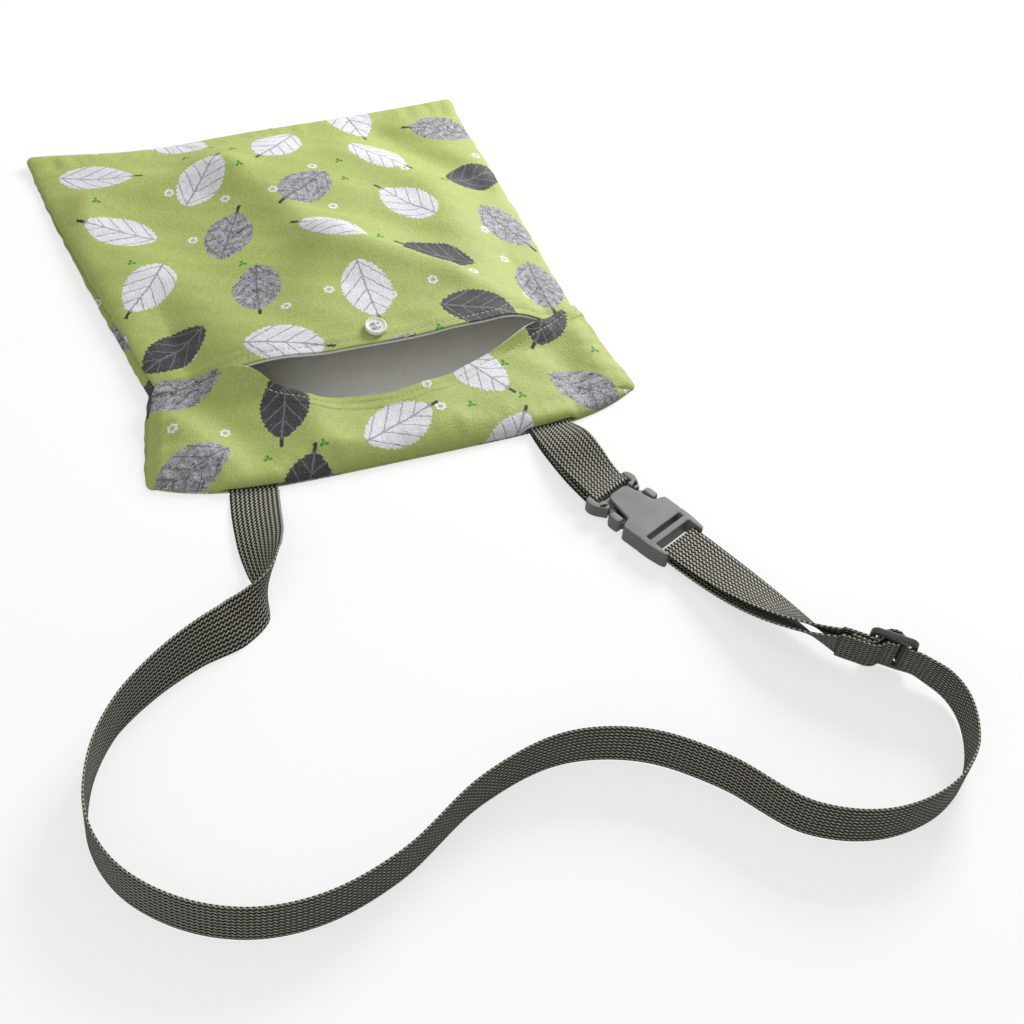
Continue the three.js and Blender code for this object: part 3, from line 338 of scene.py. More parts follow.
def new_object(name, mesh, material, body):
    """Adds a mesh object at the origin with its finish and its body."""
    mesh.materials.append(material)
    mesh.polygons.foreach_set("use_smooth", np.ones(len(mesh.polygons), bool))
    piece = bpy.data.objects.new(name, mesh)
    bpy.context.scene.collection.objects.link(piece)
    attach(piece, body)
    return piece


def mesh_of(name, points, faces, flat=None):
    """A mesh from points and faces, with flat-cut places as its UV map."""
    mesh = bpy.data.meshes.new(name)
    mesh.from_pydata(points.tolist(), [], faces)
    if flat is not None:
        corner = np.zeros(len(mesh.loops), np.int32)
        mesh.loops.foreach_get("vertex_index", corner)
        layer = mesh.uv_layers.new(name="flat")
        layer.data.foreach_set("uv", flat[corner].astype(np.float32).ravel())
    mesh.update()
    return mesh


# Bag surfaces


def bottom_seam_y(across):
    """Bottom seam in plan: half the length, less a bow that is full in the middle."""
    return HALF_LENGTH - BOTTOM_SEAM_BOW * (1 - across ** 2)


def strap_seam_y(across):
    """Strap seam in plan: a bow times the fifth power of the place across, less half the length."""
    return STRAP_SEAM_BOW * np.abs(across) ** 5 - HALF_LENGTH


def waist_pull(y):
    """How strongly the mouth draws the side seams in: 1 at the waist, 0 at the corners, to the power 1.4."""
    reach = np.where(y > WAIST_Y, HALF_LENGTH - WAIST_Y, WAIST_Y - STRAP_CORNER_Y)
    return np.maximum(0, 1 - np.abs(y - WAIST_Y) / reach) ** 1.4


def half_width(y, across):
    """Half the width: the full half less a quarter circle at each corner and less the drawn-in waist."""
    to_end = np.clip(np.minimum(HALF_LENGTH - y, y - STRAP_CORNER_Y), 0, CORNER_RADIUS)
    cut = CORNER_RADIUS - np.sqrt(np.maximum(0, CORNER_RADIUS ** 2 - (CORNER_RADIUS - to_end) ** 2))
    return HALF_WIDTH - cut - np.where(across < 0, LEFT_WAIST, RIGHT_WAIST) * waist_pull(y)


def mouth_place(x):
    """Place across the mouth, -1 at its left end and 1 at its right end."""
    return (x - MOUTH_MIDDLE) / MOUTH_HALF


def mouth_swell(x):
    """Level swell of the open edge: 1 less the eighth power of the place, squared."""
    return np.maximum(0, 1 - mouth_place(x) ** 8) ** 2


def front_hem_y(x):
    """Front hem in plan: a straight line with a parabolic bow towards the strap seam."""
    return FRONT_HEM_Y - FRONT_HEM_BOW * np.maximum(0, 1 - mouth_place(x) ** 2)


HEM_X = np.linspace(-0.15, 0.15, 601)
HEM_BELL = np.exp(-(np.linspace(-2.5, 2.5, 49) ** 2))
HEM_PADDED = np.pad(np.interp(HEM_X, *BAND_HEM.T), 24, mode="edge")
HEM_Y = np.convolve(HEM_PADDED, HEM_BELL / HEM_BELL.sum(), mode="valid")


def band_hem_y(x):
    """Band hem in plan: the listed points joined, then smoothed by a bell 12 mm to each side."""
    return np.interp(x, HEM_X, HEM_Y)


def seam_x(across, y):
    """X of a place across the bag at a given y."""
    return across * half_width(y, across)


def crown(across):
    """Round section: the square root of 1 less the place squared."""
    return np.sqrt(np.maximum(0, 1 - across ** 2))


def end_lift(x, y):
    """Rise towards the bottom seam: a square law over its reach, less a bell-shaped dip."""
    near = np.maximum(0, 1 - (HALF_LENGTH - y) / END_REACH) ** 2
    return END_LIFT * near * (1 - np.exp(-(((x - END_DIP_X) / END_DIP_WIDTH) ** 2)))


def ripple(place):
    """Uneven pucker along a seam: waves 27 mm and 11 mm long with wandering phases, fading in and out."""
    wander = 2.2 * np.sin(TURN * place / 0.083) + 1.3 * np.sin(TURN * place / 0.037 + 1)
    fade = 0.55 + 0.45 * np.sin(TURN * place / 0.059 + 0.7)
    long_wave = 0.6 * np.sin(TURN * place / 0.027 + wander)
    return long_wave + 0.4 * fade * np.sin(TURN * place / 0.011 - wander)


def fold_lift(x, y, folds):
    """Sum of folds: lift times exp(-(d / w) squared), d from the fold's line and w its width on that side."""
    total = np.zeros(x.shape)
    for points, lift, left, right in folds:
        line = np.array(points)
        nearest = np.full(x.shape, np.inf)
        side = np.zeros(x.shape)
        for start, end in zip(line[:-1], line[1:]):
            run = end - start
            share = np.clip(((x - start[0]) * run[0] + (y - start[1]) * run[1]) / (run @ run), 0, 1)
            dx = x - start[0] - share * run[0]
            dy = y - start[1] - share * run[1]
            distance = np.hypot(dx, dy)
            turn = (run[0] * dy - run[1] * dx) / np.maximum(distance * np.hypot(*run), 1e-12)
            side = np.where(distance < nearest, turn, side)
            nearest = np.minimum(distance, nearest)
        width = right + (left - right) * (0.5 + 0.5 * side)
        total += lift * np.exp(-((nearest / width) ** 2))
    return total


def slack(x, y):
    """Slight waviness of loose cotton: the sum of the crossing sine waves listed, 47, 33 and 22 mm long."""
    return sum(height * np.sin(TURN * (x * over + y * along) / wave + phase)
               for height, wave, (over, along), phase in SLACK_WAVES)


def seam_puckers(across, y, seam_gap, x, pucker):
    """Puckers beside the seams: a ripple that is strongest about 10 mm in and nothing at the seam itself."""
    side = np.clip(1 - (1 - np.abs(across)) / PUCKER_SIDE, 0, 1)
    end = np.clip(1 - seam_gap / PUCKER_END, 0, 1)
    return pucker * 4 * (side * (1 - side) * ripple(y) + end * (1 - end) * ripple(x + 0.3))


def outline_x(across, y):
    """X of a place, with the seam's edge drawn in and out by the ripple of its puckers."""
    wave = EDGE_WAVE * ripple(y) * np.clip((np.abs(across) - 0.9) / 0.1, 0, 1) ** 2
    return seam_x(across, y) + np.sign(across) * wave


def sewn_x(across, y):
    """X on the front or the band, whose left seam lies inside the back panel's swell at the waist."""
    return outline_x(across, y) + LEFT_SEAM_INSET * waist_pull(y) * smooth(-across, 0.85, 1.0)


def over_straps(x, from_seam):
    """Lift of the band's edge over the webbing sewn in under it, faded out beside and behind the webbing."""
    roots = ((LEFT_ROOT_X, LEFT_ROOT_COVER), (RIGHT_ROOT_X, RIGHT_ROOT_COVER))
    lift = sum(cover * smooth(STRAP_WIDTH / 2 + COVER_SIDE - np.abs(x - root), 0, COVER_SIDE)
               for root, cover in roots)
    return lift * (1 - smooth(from_seam, 0.0, COVER_DEPTH))


def on_seam(rise):
    """Height over the seam: the seam's own, plus the rise, plus a roll that grows in over its first part."""
    return SEAM_STACK + rise + SEAM_ROLL * (1 - np.exp(-np.maximum(rise, 0) / SEAM_ROLL_REACH))


def hem_relief(distance, cloth):
    """Turned hem: a step over the hem's depth, less a bell-shaped groove at the stitch line."""
    step = cloth.hem_step * (1 - smooth(distance, cloth.hem_depth - HEM_SLOPE, cloth.hem_depth))
    return step - GROOVE_DEPTH * np.exp(-(((distance - HEM_STITCH_INSET) / GROOVE_WIDTH) ** 2))


def back_place(across, y):
    """Upper face of the back panel: flat in the middle, turned up to the side seams by a square law."""
    x = outline_x(across, y)
    turned = np.maximum(0, 1 - (1 - np.abs(across)) / BACK_TURN_UP) ** 2
    turned = turned * (1 - 0.5 * smooth(-across, 0.96, 1.0))
    return np.stack([x, y, SEAM_LIFT * waist_pull(y) * turned + end_lift(x, y) + CLOTH], -1)


def front_place(across, y):
    """Upper face of the front panel: a filled crown that opens into the mouth, with folds and puckers."""
    cloth = bpy.context.scene.peg_bag_cloth
    x = sewn_x(across, y)
    seam = bottom_seam_y(across)
    along = np.clip((seam - y) / (seam - FRONT_HEM_Y), 0, 1)
    filled = FILL_RISE * np.maximum(0, 1 - (1 - along) ** 2) ** 0.6
    opened = smooth(along, *MOUTH_OPENS)
    rise = (filled * (1 - opened) + SIDE_RISE * opened) * crown(across)
    rise = rise + MOUTH_RISE * mouth_swell(x) * opened
    from_hem = y - front_hem_y(seam_x(across, FRONT_HEM_Y))
    inside = smooth(1 - np.abs(across), 0, FRONT_SIDE_FADE) * smooth(seam - y, 0, FRONT_END_FADE)
    from_button = np.hypot(x - BUTTON_PLACE[0], y - BUTTON_PLACE[1])
    sewn = 1 - np.exp(-((from_button / BUTTON_HOLD) ** 2))
    lift = slack(x, y) * inside * sewn
    for folds, fade in ((FRONT_FOLDS, FOLD_FADE), (FRONT_CREASES, CREASE_FADE)):
        lift = lift + cloth.fold_depth * fold_lift(x, y, folds) * inside * smooth(from_hem, *fade)
    lift = lift + seam_puckers(across, y, seam - y, x, cloth.pucker) + hem_relief(from_hem, cloth)
    z = SEAM_LIFT * waist_pull(y) + end_lift(x, y) + on_seam(rise) + lift
    return np.stack([x, y, z], -1)


def band_place(across, y):
    """Upper face of the band: rolled up from the strap seam, then over the sides of the front panel."""
    cloth = bpy.context.scene.peg_bag_cloth
    x = sewn_x(across, y)
    seam = strap_seam_y(across)
    hem = band_hem_y(seam_x(across, FRONT_HEM_Y))
    along = np.clip((y - seam) / (hem - seam), 0, 1)
    rolled = (1 - (1 - np.minimum(1, along / BAND_ROLL)) ** 2) ** 0.6
    over = smooth(y, *BAND_OVER)
    sewn_down = 1 - smooth(np.abs(across), 0.93, 1.0) * (1 - 0.75 * over)
    rise = (SIDE_RISE * crown(across) + BAND_STACK * sewn_down) * rolled
    rise = rise + MOUTH_RISE * mouth_swell(x) * over
    inside = smooth(1 - np.abs(across), 0, BAND_SIDE_FADE) * smooth(along, 0, BAND_ROOT_FADE)
    lift = (cloth.fold_depth * fold_lift(x, y, BAND_FOLDS) + slack(x, y)) * inside
    lift = lift * (1 - 0.7 * over) + hem_relief(hem - y, cloth)
    lift = lift + seam_puckers(across, y, y - seam, x, cloth.pucker) + over_straps(x, y - seam)
    z = SEAM_LIFT * waist_pull(y) + on_seam(rise) + lift
    return np.stack([x, y, z], -1)


def panel_grid(place, edges, columns, rows, margin=0.0, ends=(0.0, 1.0)):
    """Grid of places: across is the sine of an even step, along closes up at both ends."""
    across = np.sin(np.linspace(-np.pi / 2, np.pi / 2, columns)) * (1 - margin)
    step = np.linspace(0, 1, rows)
    along = ends[0] + (ends[1] - ends[0]) * (step - 0.85 * np.sin(TURN * step) / TURN)
    start, end = edges(across)
    y = start + (end - start) * along[:, None]
    return place(np.broadcast_to(across, y.shape), y)


def grid_normals(grid):
    """Unit normals of a grid: the cross product of its two directions, held even over the last two steps."""
    normals = unit(np.cross(np.gradient(grid, axis=1), np.gradient(grid, axis=0)))
    return np.pad(normals[2:-2, 2:-2], ((2, 2), (2, 2), (0, 0)), mode="edge")


def flat_cut(grid, offset):
    """Places on the flat cloth: length along each row from its middle, and up each column from its start."""
    over = np.linalg.norm(np.diff(grid, axis=1), axis=-1)
    u = np.concatenate([np.zeros((len(grid), 1)), np.cumsum(over, axis=1)], axis=1)
    u = u - u[:, grid.shape[1] // 2][:, None]
    along = np.linalg.norm(np.diff(grid, axis=0), axis=-1)
    v = np.concatenate([np.zeros((1, grid.shape[1])), np.cumsum(along, axis=0)], axis=0) + grid[:1, :, 1]
    return np.stack([u, v], -1) + np.array(offset)


def closed_sheet(name, top, bottom, flat):
    """A sheet between two grids, with a rim that bulges by a third of the thickness."""
    rows, columns = top.shape[:2]
    count = rows * columns
    index = np.arange(count).reshape(rows, columns)
    upper = np.stack([index[:-1, :-1], index[:-1, 1:], index[1:, 1:], index[1:, :-1]], -1).reshape(-1, 4)
    lower = upper[:, ::-1] + count
    loop = np.concatenate([index[0, :-1], index[:-1, -1], index[-1, :0:-1], index[:0:-1, 0]])
    inner = np.clip(np.stack(np.divmod(loop, columns), -1), 1, (rows - 2, columns - 2))
    tops = top.reshape(-1, 3)
    bottoms = bottom.reshape(-1, 3)
    outward = unit(tops[loop] - top[inner[:, 0], inner[:, 1]])
    thick = np.linalg.norm(tops[loop] - bottoms[loop], axis=-1, keepdims=True)
    middle = (tops[loop] + bottoms[loop]) / 2 + outward * thick / 3
    rim = 2 * count + np.arange(len(loop))
    rim_next = np.roll(rim, -1)
    loop_next = np.roll(loop, -1)
    upper_rim = np.stack([rim, rim_next, loop_next, loop], -1)
    lower_rim = np.stack([loop + count, loop_next + count, rim_next, rim], -1)
    points = np.concatenate([tops, bottoms, middle])
    faces = np.concatenate([upper, lower, upper_rim, lower_rim])
    cut = flat.reshape(-1, 2)
    places = np.concatenate([cut, cut, cut[loop]])
    return mesh_of(name, points, faces.tolist(), places)


def back_edges(across):
    """First and last y of the back panel."""
    return strap_seam_y(across), bottom_seam_y(across)


def front_edges(across):
    """First and last y of the front panel: from its hem to the bottom seam."""
    return front_hem_y(seam_x(across, FRONT_HEM_Y)), bottom_seam_y(across)


def band_edges(across):
    """First and last y of the band: from the strap seam to its hem."""
    return strap_seam_y(across), band_hem_y(seam_x(across, FRONT_HEM_Y))


# Webbing


def smooth_line(points, steps):
    """Centripetal Catmull-Rom curve: each span is a cubic whose end slopes use knots of root length."""
    ends = np.concatenate([[2 * points[0] - points[1]], points, [2 * points[-1] - points[-2]]])
    p0, p1, p2, p3 = ends[:-3], ends[1:-2], ends[2:-1], ends[3:]
    d0, d1, d2 = (np.maximum(np.linalg.norm(b - a, axis=1, keepdims=True), 1e-9) ** 0.5
                  for a, b in ((p0, p1), (p1, p2), (p2, p3)))
    slope1 = ((p1 - p0) / d0 - (p2 - p0) / (d0 + d1) + (p2 - p1) / d1) * d1
    slope2 = ((p2 - p1) / d1 - (p3 - p1) / (d1 + d2) + (p3 - p2) / d2) * d1
    w = (np.arange(steps) / steps)[None, :, None]
    a, b, s, e = p1[:, None], p2[:, None], slope1[:, None], slope2[:, None]
    curve = a + s * w + (3 * (b - a) - 2 * s - e) * w ** 2 + (2 * (a - b) + s + e) * w ** 3
    return np.concatenate([curve.reshape(-1, points.shape[1]), points[-1:]])


def tangents(points):
    """Unit direction at each point of a line."""
    return unit(np.gradient(points, axis=0))


def level(angle):
    """Level unit vector at an angle from +X."""
    return np.array((math.cos(angle), math.sin(angle), 0.0))


UP = np.array((0.0, 0.0, 1.0))
BUCKLE_FORWARD = level(BUCKLE_HEADING)
BUCKLE_SIDE = level(BUCKLE_HEADING + math.pi / 2)
SLIDER_FORWARD = level(SLIDER_HEADING)
SLIDER_LEVEL = level(SLIDER_HEADING + math.pi / 2)
SLIDER_SIDE = SLIDER_LEVEL * math.cos(SLIDER_LEAN) - UP * math.sin(SLIDER_LEAN)
SLIDER_UP = UP * math.cos(SLIDER_LEAN) + SLIDER_LEVEL * math.sin(SLIDER_LEAN)
WRAP_GAP = STRAP_GAP + STRAP_THICK / 2
LAYER = STRAP_THICK + 2 * STRAP_GAP
BAR_SIDE = SLIDER_THICK / 2 + WRAP_GAP
BACK_SIDE = BAR_SIDE + 2 * LAYER + STRAP_GAP


def on_buckle(along, height):
    """Place on the buckle's middle line."""
    return BUCKLE_NOSE + BUCKLE_FORWARD * along + UP * height


def on_slider(along, side):
    """Place on the slider, along it and to its side."""
    return SLIDER_PLACE + SLIDER_FORWARD * along + SLIDER_SIDE * side


def half_turn(half_length, half_height, facing):
    """Half turn round a flat bar, its corners rounded at the wrap gap."""
    corner = WRAP_GAP * math.sqrt(0.5)
    upper = [(0, half_height + WRAP_GAP), (half_length, half_height + WRAP_GAP),
             (half_length + corner, half_height + corner), (half_length + WRAP_GAP, half_height)]
    lower = [(along, -height) for along, height in reversed(upper)]
    return [(facing * along, height) for along, height in upper + lower]


def round_bar(along, width, height, facing):
    """Half turn of webbing round one of the buckle's bars."""
    return np.array([on_buckle(along + step, BAR_HEIGHT + rise)
                     for step, rise in half_turn(width / 2, height / 2, facing)])


def strap_root(x, height):
    """Where a strap leaves the strap seam, just clear of the seam's outermost edge under the webbing."""
    inner = (abs(x) - STRAP_WIDTH / 2) / half_width(STRAP_CORNER_Y, x)
    return np.array((x, strap_seam_y(inner) - STRAP_GAP, height))


def cubic(start, leaving, arriving, end, at):
    """Cubic curve: the four points weighted by (1-t) cubed, 3t(1-t) squared, 3t squared (1-t) and t cubed."""
    return (start * (1 - at) ** 3 + 3 * leaving * at * (1 - at) ** 2
            + 3 * arriving * at ** 2 * (1 - at) + end * at ** 3)


def free_run(root):
    """Centres and across directions of the free run: the edge angle turns the width from level to upright."""
    route = np.concatenate([[(*root, 0)], STRAP_ROUTE])
    turn = np.radians(route[:, 3])
    centres = route[:, :3] + np.outer(np.sin(turn) * STRAP_WIDTH / 2, UP)
    last = on_slider(-SLIDER_HALF - SLIDER_BAR, BAR_SIDE)
    turns = np.append(turn, math.pi / 2 - SLIDER_LEAN)
    line = smooth_line(np.vstack([centres, last]), ROUTE_STEPS)[:-1]
    angle = np.interp(np.arange(len(line)) / ROUTE_STEPS, np.arange(len(turns)), turns)[:, None]
    heading = tangents(line)
    left = unit(np.cross(UP, heading))
    across = left * np.cos(angle) + np.cross(heading, left) * np.sin(angle)
    return line, across


def doubled_stretch(layer):
    """One layer between buckle and slider: a cubic with thirds as handles, twisted most near the slider."""
    start = on_buckle(SOCKET_BAR_X, BAR_HEIGHT)
    end = on_slider(SLIDER_HALF + SEWN_LENGTH, (BAR_SIDE + BACK_SIDE) / 2)
    pull = np.linalg.norm(end - start) / 3
    leaving = start + BUCKLE_FORWARD * pull
    arriving = end + SLIDER_FORWARD * pull
    at = (np.arange(1, LOOP_STEPS + 1) / LOOP_STEPS)[:, None]
    line = cubic(start, leaving, arriving, end, at)
    heading = unit((leaving - start) * (1 - at) ** 2 + 2 * (arriving - leaving) * at * (1 - at)
                   + (end - arriving) * at ** 2)
    turn = at ** TWIST_DELAY * (math.pi / 2 - SLIDER_LEAN)
    front = unit(np.cross(heading, UP))
    across = front * np.cos(turn) + np.cross(front, heading) * np.sin(turn)
    apart = (SOCKET_BAR_HEIGHT / 2 + WRAP_GAP) * (1 - at) + (BACK_SIDE - BAR_SIDE) / 2 * at
    apart = apart + LOOP_SPREAD * np.sin(np.pi * at)
    return line + np.cross(across, heading) * layer * apart, across


def long_strap_line():
    """Centres and across directions of the long strap, from the left root to its sewn tail."""
    middle = (OUTER_START + CENTRE_HALF) / 2
    behind = -BAR_SIDE - LAYER - STRAP_GAP
    running = [
        (-SLIDER_HALF, BAR_SIDE), (STRAP_GAP - OUTER_START, BAR_SIDE), (-middle - WRAP_GAP, STRAP_GAP),
        (-2 * CENTRE_HALF, behind + STRAP_THICK), (-CENTRE_HALF, behind), (CENTRE_HALF, behind),
        (middle - WRAP_GAP, behind + STRAP_THICK), (OUTER_START - LAYER, -STRAP_GAP),
        (OUTER_START - WRAP_GAP, BAR_SIDE - WRAP_GAP), (OUTER_START, BAR_SIDE + STRAP_GAP),
        (SLIDER_HALF, BAR_SIDE),
    ]
    returning = [
        (SLIDER_HALF, BACK_SIDE), (OUTER_START, BACK_SIDE), (middle, BAR_SIDE + LAYER + WRAP_GAP),
        (1.5 * CENTRE_HALF, BAR_SIDE + STRAP_GAP),
    ]
    tail = [
        (CENTRE_HALF, -BAR_SIDE), (2 * CENTRE_HALF, STRAP_THICK / 2 - BAR_SIDE), (middle, 2 * STRAP_GAP),
        (OUTER_START - LAYER - STRAP_GAP, BAR_SIDE + STRAP_GAP),
        (OUTER_START, BAR_SIDE + LAYER + STRAP_GAP),
        (SLIDER_HALF + SEWN_LENGTH - STRAP_GAP, BAR_SIDE + LAYER),
    ]
    wrap = returning + half_turn(CENTRE_HALF, SLIDER_THICK / 2, -1) + tail
    free, free_across = free_run(strap_root(LEFT_ROOT_X, CLOTH))
    outward, wrapped = (np.array([on_slider(*place) for place in places]) for places in (running, wrap))
    upper, upper_across = doubled_stretch(1)
    lower, lower_across = doubled_stretch(-1)
    turn = round_bar(SOCKET_BAR_X, SOCKET_BAR, SOCKET_BAR_HEIGHT, -1)
    tuck = free[:1] + (0, ROOT_TUCK, 0)
    centres = np.concatenate([tuck, free, outward, upper[::-1], turn, lower, wrapped])
    across = np.concatenate([
        free_across[:1], free_across, np.tile(SLIDER_UP, (len(outward), 1)), upper_across[::-1],
        np.tile(-BUCKLE_SIDE, (len(turn), 1)), lower_across, np.tile(SLIDER_UP, (len(wrapped), 1)),
    ])
    return centres, across


def short_strap_line():
    """Centres and across directions of the short strap: to the plug's bar, round it and back.

    In plan it is a cubic with thirds as handles. Each layer arches by a sine to the power 1.3, and rolls
    with it.
    """
    root = strap_root(RIGHT_ROOT_X, LAYER)
    bar = on_buckle(PLUG_BAR_X, BAR_HEIGHT)
    reach = np.linalg.norm(bar - root)
    third = UP * (bar - root)[2] / 3
    at = np.linspace(0, 1 - BAR_LEAD / reach, LOOP_STEPS + 1)[:, None]
    plan = cubic(root, root + third - (0, reach / 3, 0), bar - third - BUCKLE_FORWARD * reach / 3, bar, at)
    hump = np.sin(np.pi * at) ** 1.3
    roll = SHORT_STRAP_ROLL * hump * (1 - at ** 4) ** 2
    share = smooth(at, 0, 1)
    across = unit(np.array((1.0, 0, 0)) * (1 - share) + BUCKLE_SIDE * share)
    across = across * np.cos(roll) + UP * np.sin(roll)
    apart = (STRAP_THICK + STRAP_GAP) / 2 * (1 - at) + (PLUG_BAR_HEIGHT / 2 + WRAP_GAP) * at
    upper = plan + UP * UPPER_ARCH * hump
    lower = plan + UP * LOWER_ARCH * hump
    upper = upper + unit(np.cross(tangents(upper), across)) * apart
    lower = lower - unit(np.cross(tangents(lower), across)) * apart
    turn = round_bar(PLUG_BAR_X, PLUG_BAR, PLUG_BAR_HEIGHT, 1)
    tuck = np.array([(0, ROOT_TUCK, 0)])
    centres = np.concatenate([upper[:1] + tuck, upper, turn, lower[::-1], lower[:1] + tuck])
    across = np.concatenate([
        across[:1], across, np.tile(BUCKLE_SIDE, (len(turn), 1)), across[::-1], across[:1]])
    return centres, across


def sampled(at, run, values):
    """Values along a run read off at other places: straight lines between them, axis by axis."""
    return np.stack([np.interp(at, run, values[:, axis]) for axis in range(3)], -1)


def even_line(centres, across):
    """The line resampled on a smooth curve, with fine steps at tight turns and coarse ones on straights."""
    both = smooth_line(np.hstack([centres, across]), CURVE_STEPS)
    line, width = both[:, :3], both[:, 3:]
    step = np.linalg.norm(np.diff(line, axis=0), axis=1)
    place = np.append(0, np.cumsum(step))
    bend = np.linalg.norm(np.gradient(tangents(line), axis=0), axis=1)
    bend = bend / np.maximum(np.linalg.norm(np.gradient(line, axis=0), axis=1), 1e-9)
    density = np.clip(bend * STEPS_PER_RADIAN, 1 / COARSE_STEP, 1 / FINE_STEP)
    weight = np.append(0, np.cumsum((density[1:] + density[:-1]) / 2 * step))
    even = np.interp(np.linspace(0, weight[-1], int(weight[-1]) + 2), weight, place)
    return sampled(even, place, line), unit(sampled(even, place, width)), even


def webbing_mesh(name, centres, across, place, strap):
    """Webbing carried along a line: a flat section with round selvedges and a cosine rib for each column."""
    through = unit(np.cross(tangents(centres), across))
    share = np.sin(np.linspace(-np.pi / 2, np.pi / 2, strap.rib_count * 4 + 1))
    share = 0.35 * share + 0.65 * np.linspace(-1, 1, len(share))
    rib = strap.rib_depth * (np.cos(np.pi * strap.rib_count * (share + 1)) - 1) / 2
    edge = np.maximum(0, 1 - np.abs(share) ** 16) ** 0.4
    high = (STRAP_THICK / 2 - rib.min() / 2 + rib) * edge
    offset = np.concatenate([share, share[-2:0:-1]]) * STRAP_WIDTH / 2
    height = np.concatenate([high, -high[-2:0:-1]])
    points = (centres[:, None] + across[:, None] * offset[None, :, None]
              + through[:, None] * height[None, :, None])
    around = len(offset)
    index = np.arange(points.shape[0] * around).reshape(-1, around)
    after = np.roll(index, -1, axis=1)
    sides = np.stack([index[:-1], index[1:], after[1:], after[:-1]], -1).reshape(-1, 4)
    faces = sides.tolist() + [index[0].tolist(), index[-1, ::-1].tolist()]
    flat = np.stack(np.broadcast_arrays(offset[None, :], place[:, None]), -1).reshape(-1, 2)
    return mesh_of(name, points.reshape(-1, 3), faces, flat)


# Stitches


def stitch_row(name, places, along, up, size, thickness):
    """Stitches at places: grains whose radius is the root of 1 less the place squared, arched upwards."""
    reach = np.sin(np.linspace(-np.pi / 2, np.pi / 2, GRAIN_RINGS))[:, None]
    turn = np.arange(GRAIN_SIDES) * TURN / GRAIN_SIDES
    radius = np.sqrt(1 - reach ** 2)
    x = np.broadcast_to(reach, (GRAIN_RINGS, GRAIN_SIDES)) * size / 2
    y = radius * np.cos(turn) * thickness / 2
    z = radius * np.sin(turn) * thickness / 2 + thickness * (0.3 * (1 - reach ** 2) - 0.1)
    side = unit(np.cross(up, along))
    shape = np.stack([x, y, z], -1).reshape(-1, 3)
    turned = (shape[None, :, :1] * along[:, None] + shape[None, :, 1:2] * side[:, None]
              + shape[None, :, 2:] * up[:, None])
    points = (places[:, None] + turned).reshape(-1, 3)
    index = np.arange(len(shape)).reshape(GRAIN_RINGS, GRAIN_SIDES)
    after = np.roll(index, -1, axis=1)
    grain = np.stack([index[:-1], after[:-1], after[1:], index[1:]], -1).reshape(-1, 4)
    faces = (grain[None] + len(shape) * np.arange(len(places))[:, None, None]).reshape(-1, 4)
    return mesh_of(name, points, faces.tolist())


def hem_stitches(name, place, hem, across, cloth):
    """Even stitches along a hem on a panel: the line is measured, then cut into pitches."""
    y = hem(across)
    line = place(across, y)
    near = 0.0005
    side = place(across, y + near) - place(across, y - near)
    up = unit(np.cross(np.gradient(line, axis=0), side))
    run = np.append(0, np.cumsum(np.linalg.norm(np.diff(line, axis=0), axis=1)))
    at = np.arange(cloth.stitch_pitch / 2, run[-1], cloth.stitch_pitch)
    middle, along, over = (sampled(at, run, values) for values in (line, tangents(line), up))
    return stitch_row(name, middle, unit(along), unit(over), cloth.stitch_length, cloth.stitch_width)


# Finishes: a noise is given a place, scale and detail, and a range a value, its span and the new span

# Setting that the word after the colon of a node's kind gives
MAIN_SETTING = {
    "Math": "operation", "VectorMath": "operation", "MapRange": "interpolation_type", "Mix": "data_type",
    "TexWave": "bands_direction", "UVMap": "uv_map", "VectorRotate": "rotation_type",
}
WOVEN_RELIEF = {"Strength": 0.5, "Distance": 0.0003}
WHITE = (1.0, 1.0, 1.0, 1.0)


def add_node(tree, kind, *values, out=None):
    """Adds one node with its main setting, fills its inputs, and gives its first output or the one named.

    Values go to the inputs in use, in order, or to those that a dictionary names. Sockets are linked.
    """
    kind, _, setting = kind.partition(":")
    node = tree.nodes.new("ShaderNode" + kind)
    if setting:
        setattr(node, MAIN_SETTING[kind], setting)
    if values and isinstance(values[0], dict):
        pairs = [(node.inputs[name], value) for name, value in values[0].items()]
    else:
        pairs = zip([socket for socket in node.inputs if socket.enabled], values)
    for socket, value in pairs:
        if isinstance(value, bpy.types.NodeSocket):
            tree.links.new(value, socket)
        else:
            socket.default_value = value
    return node.outputs[out] if out else next((socket for socket in node.outputs if socket.enabled), None)


def new_material(name):
    """An empty material, and the node function bound to its tree."""
    material = bpy.data.materials.new(name)
    material.use_nodes = True
    material.node_tree.nodes.clear()
    return material, partial(add_node, material.node_tree)


def shaded(tint, share):
    """A colour with a share of its light."""
    return (*(share * part for part in tint[:3]), 1.0)


def flat_place(add):
    """Place on the flat cut, in millimetres, so that a noise scale is a count to the millimetre."""
    return add("VectorMath:SCALE", add("UVMap:flat"), MILLIMETRES)


def cells_of(add, place, size):
    """Square cells of a repeat: the number of the cell that a place is in, and the place from its middle."""
    cells = add("VectorMath:DIVIDE", place, (size, size, 1))
    inside = add("VectorMath:SUBTRACT", add("VectorMath:FRACTION", cells), (0.5, 0.5, 0))
    return add("VectorMath:FLOOR", cells), add("VectorMath:SCALE", inside, size)


def woven_threads(add, place):
    """Uneven threads of a plain weave, 0 to 1: the sum of noise drawn out along the warp and along the weft.

    Real threads are 0.4 mm apart. They are drawn about 0.8 mm apart, so that they show.
    """
    warp, weft = (
        add("TexNoise", add("VectorMath:MULTIPLY", place, stretch), 1.2, 2.0)
        for stretch in ((1.0, 0.16, 0.0), (0.16, 1.0, 0.0)))
    return add("MapRange", add("Math:ADD", warp, weft), 0.7, 1.3, 0.0, 1.0)


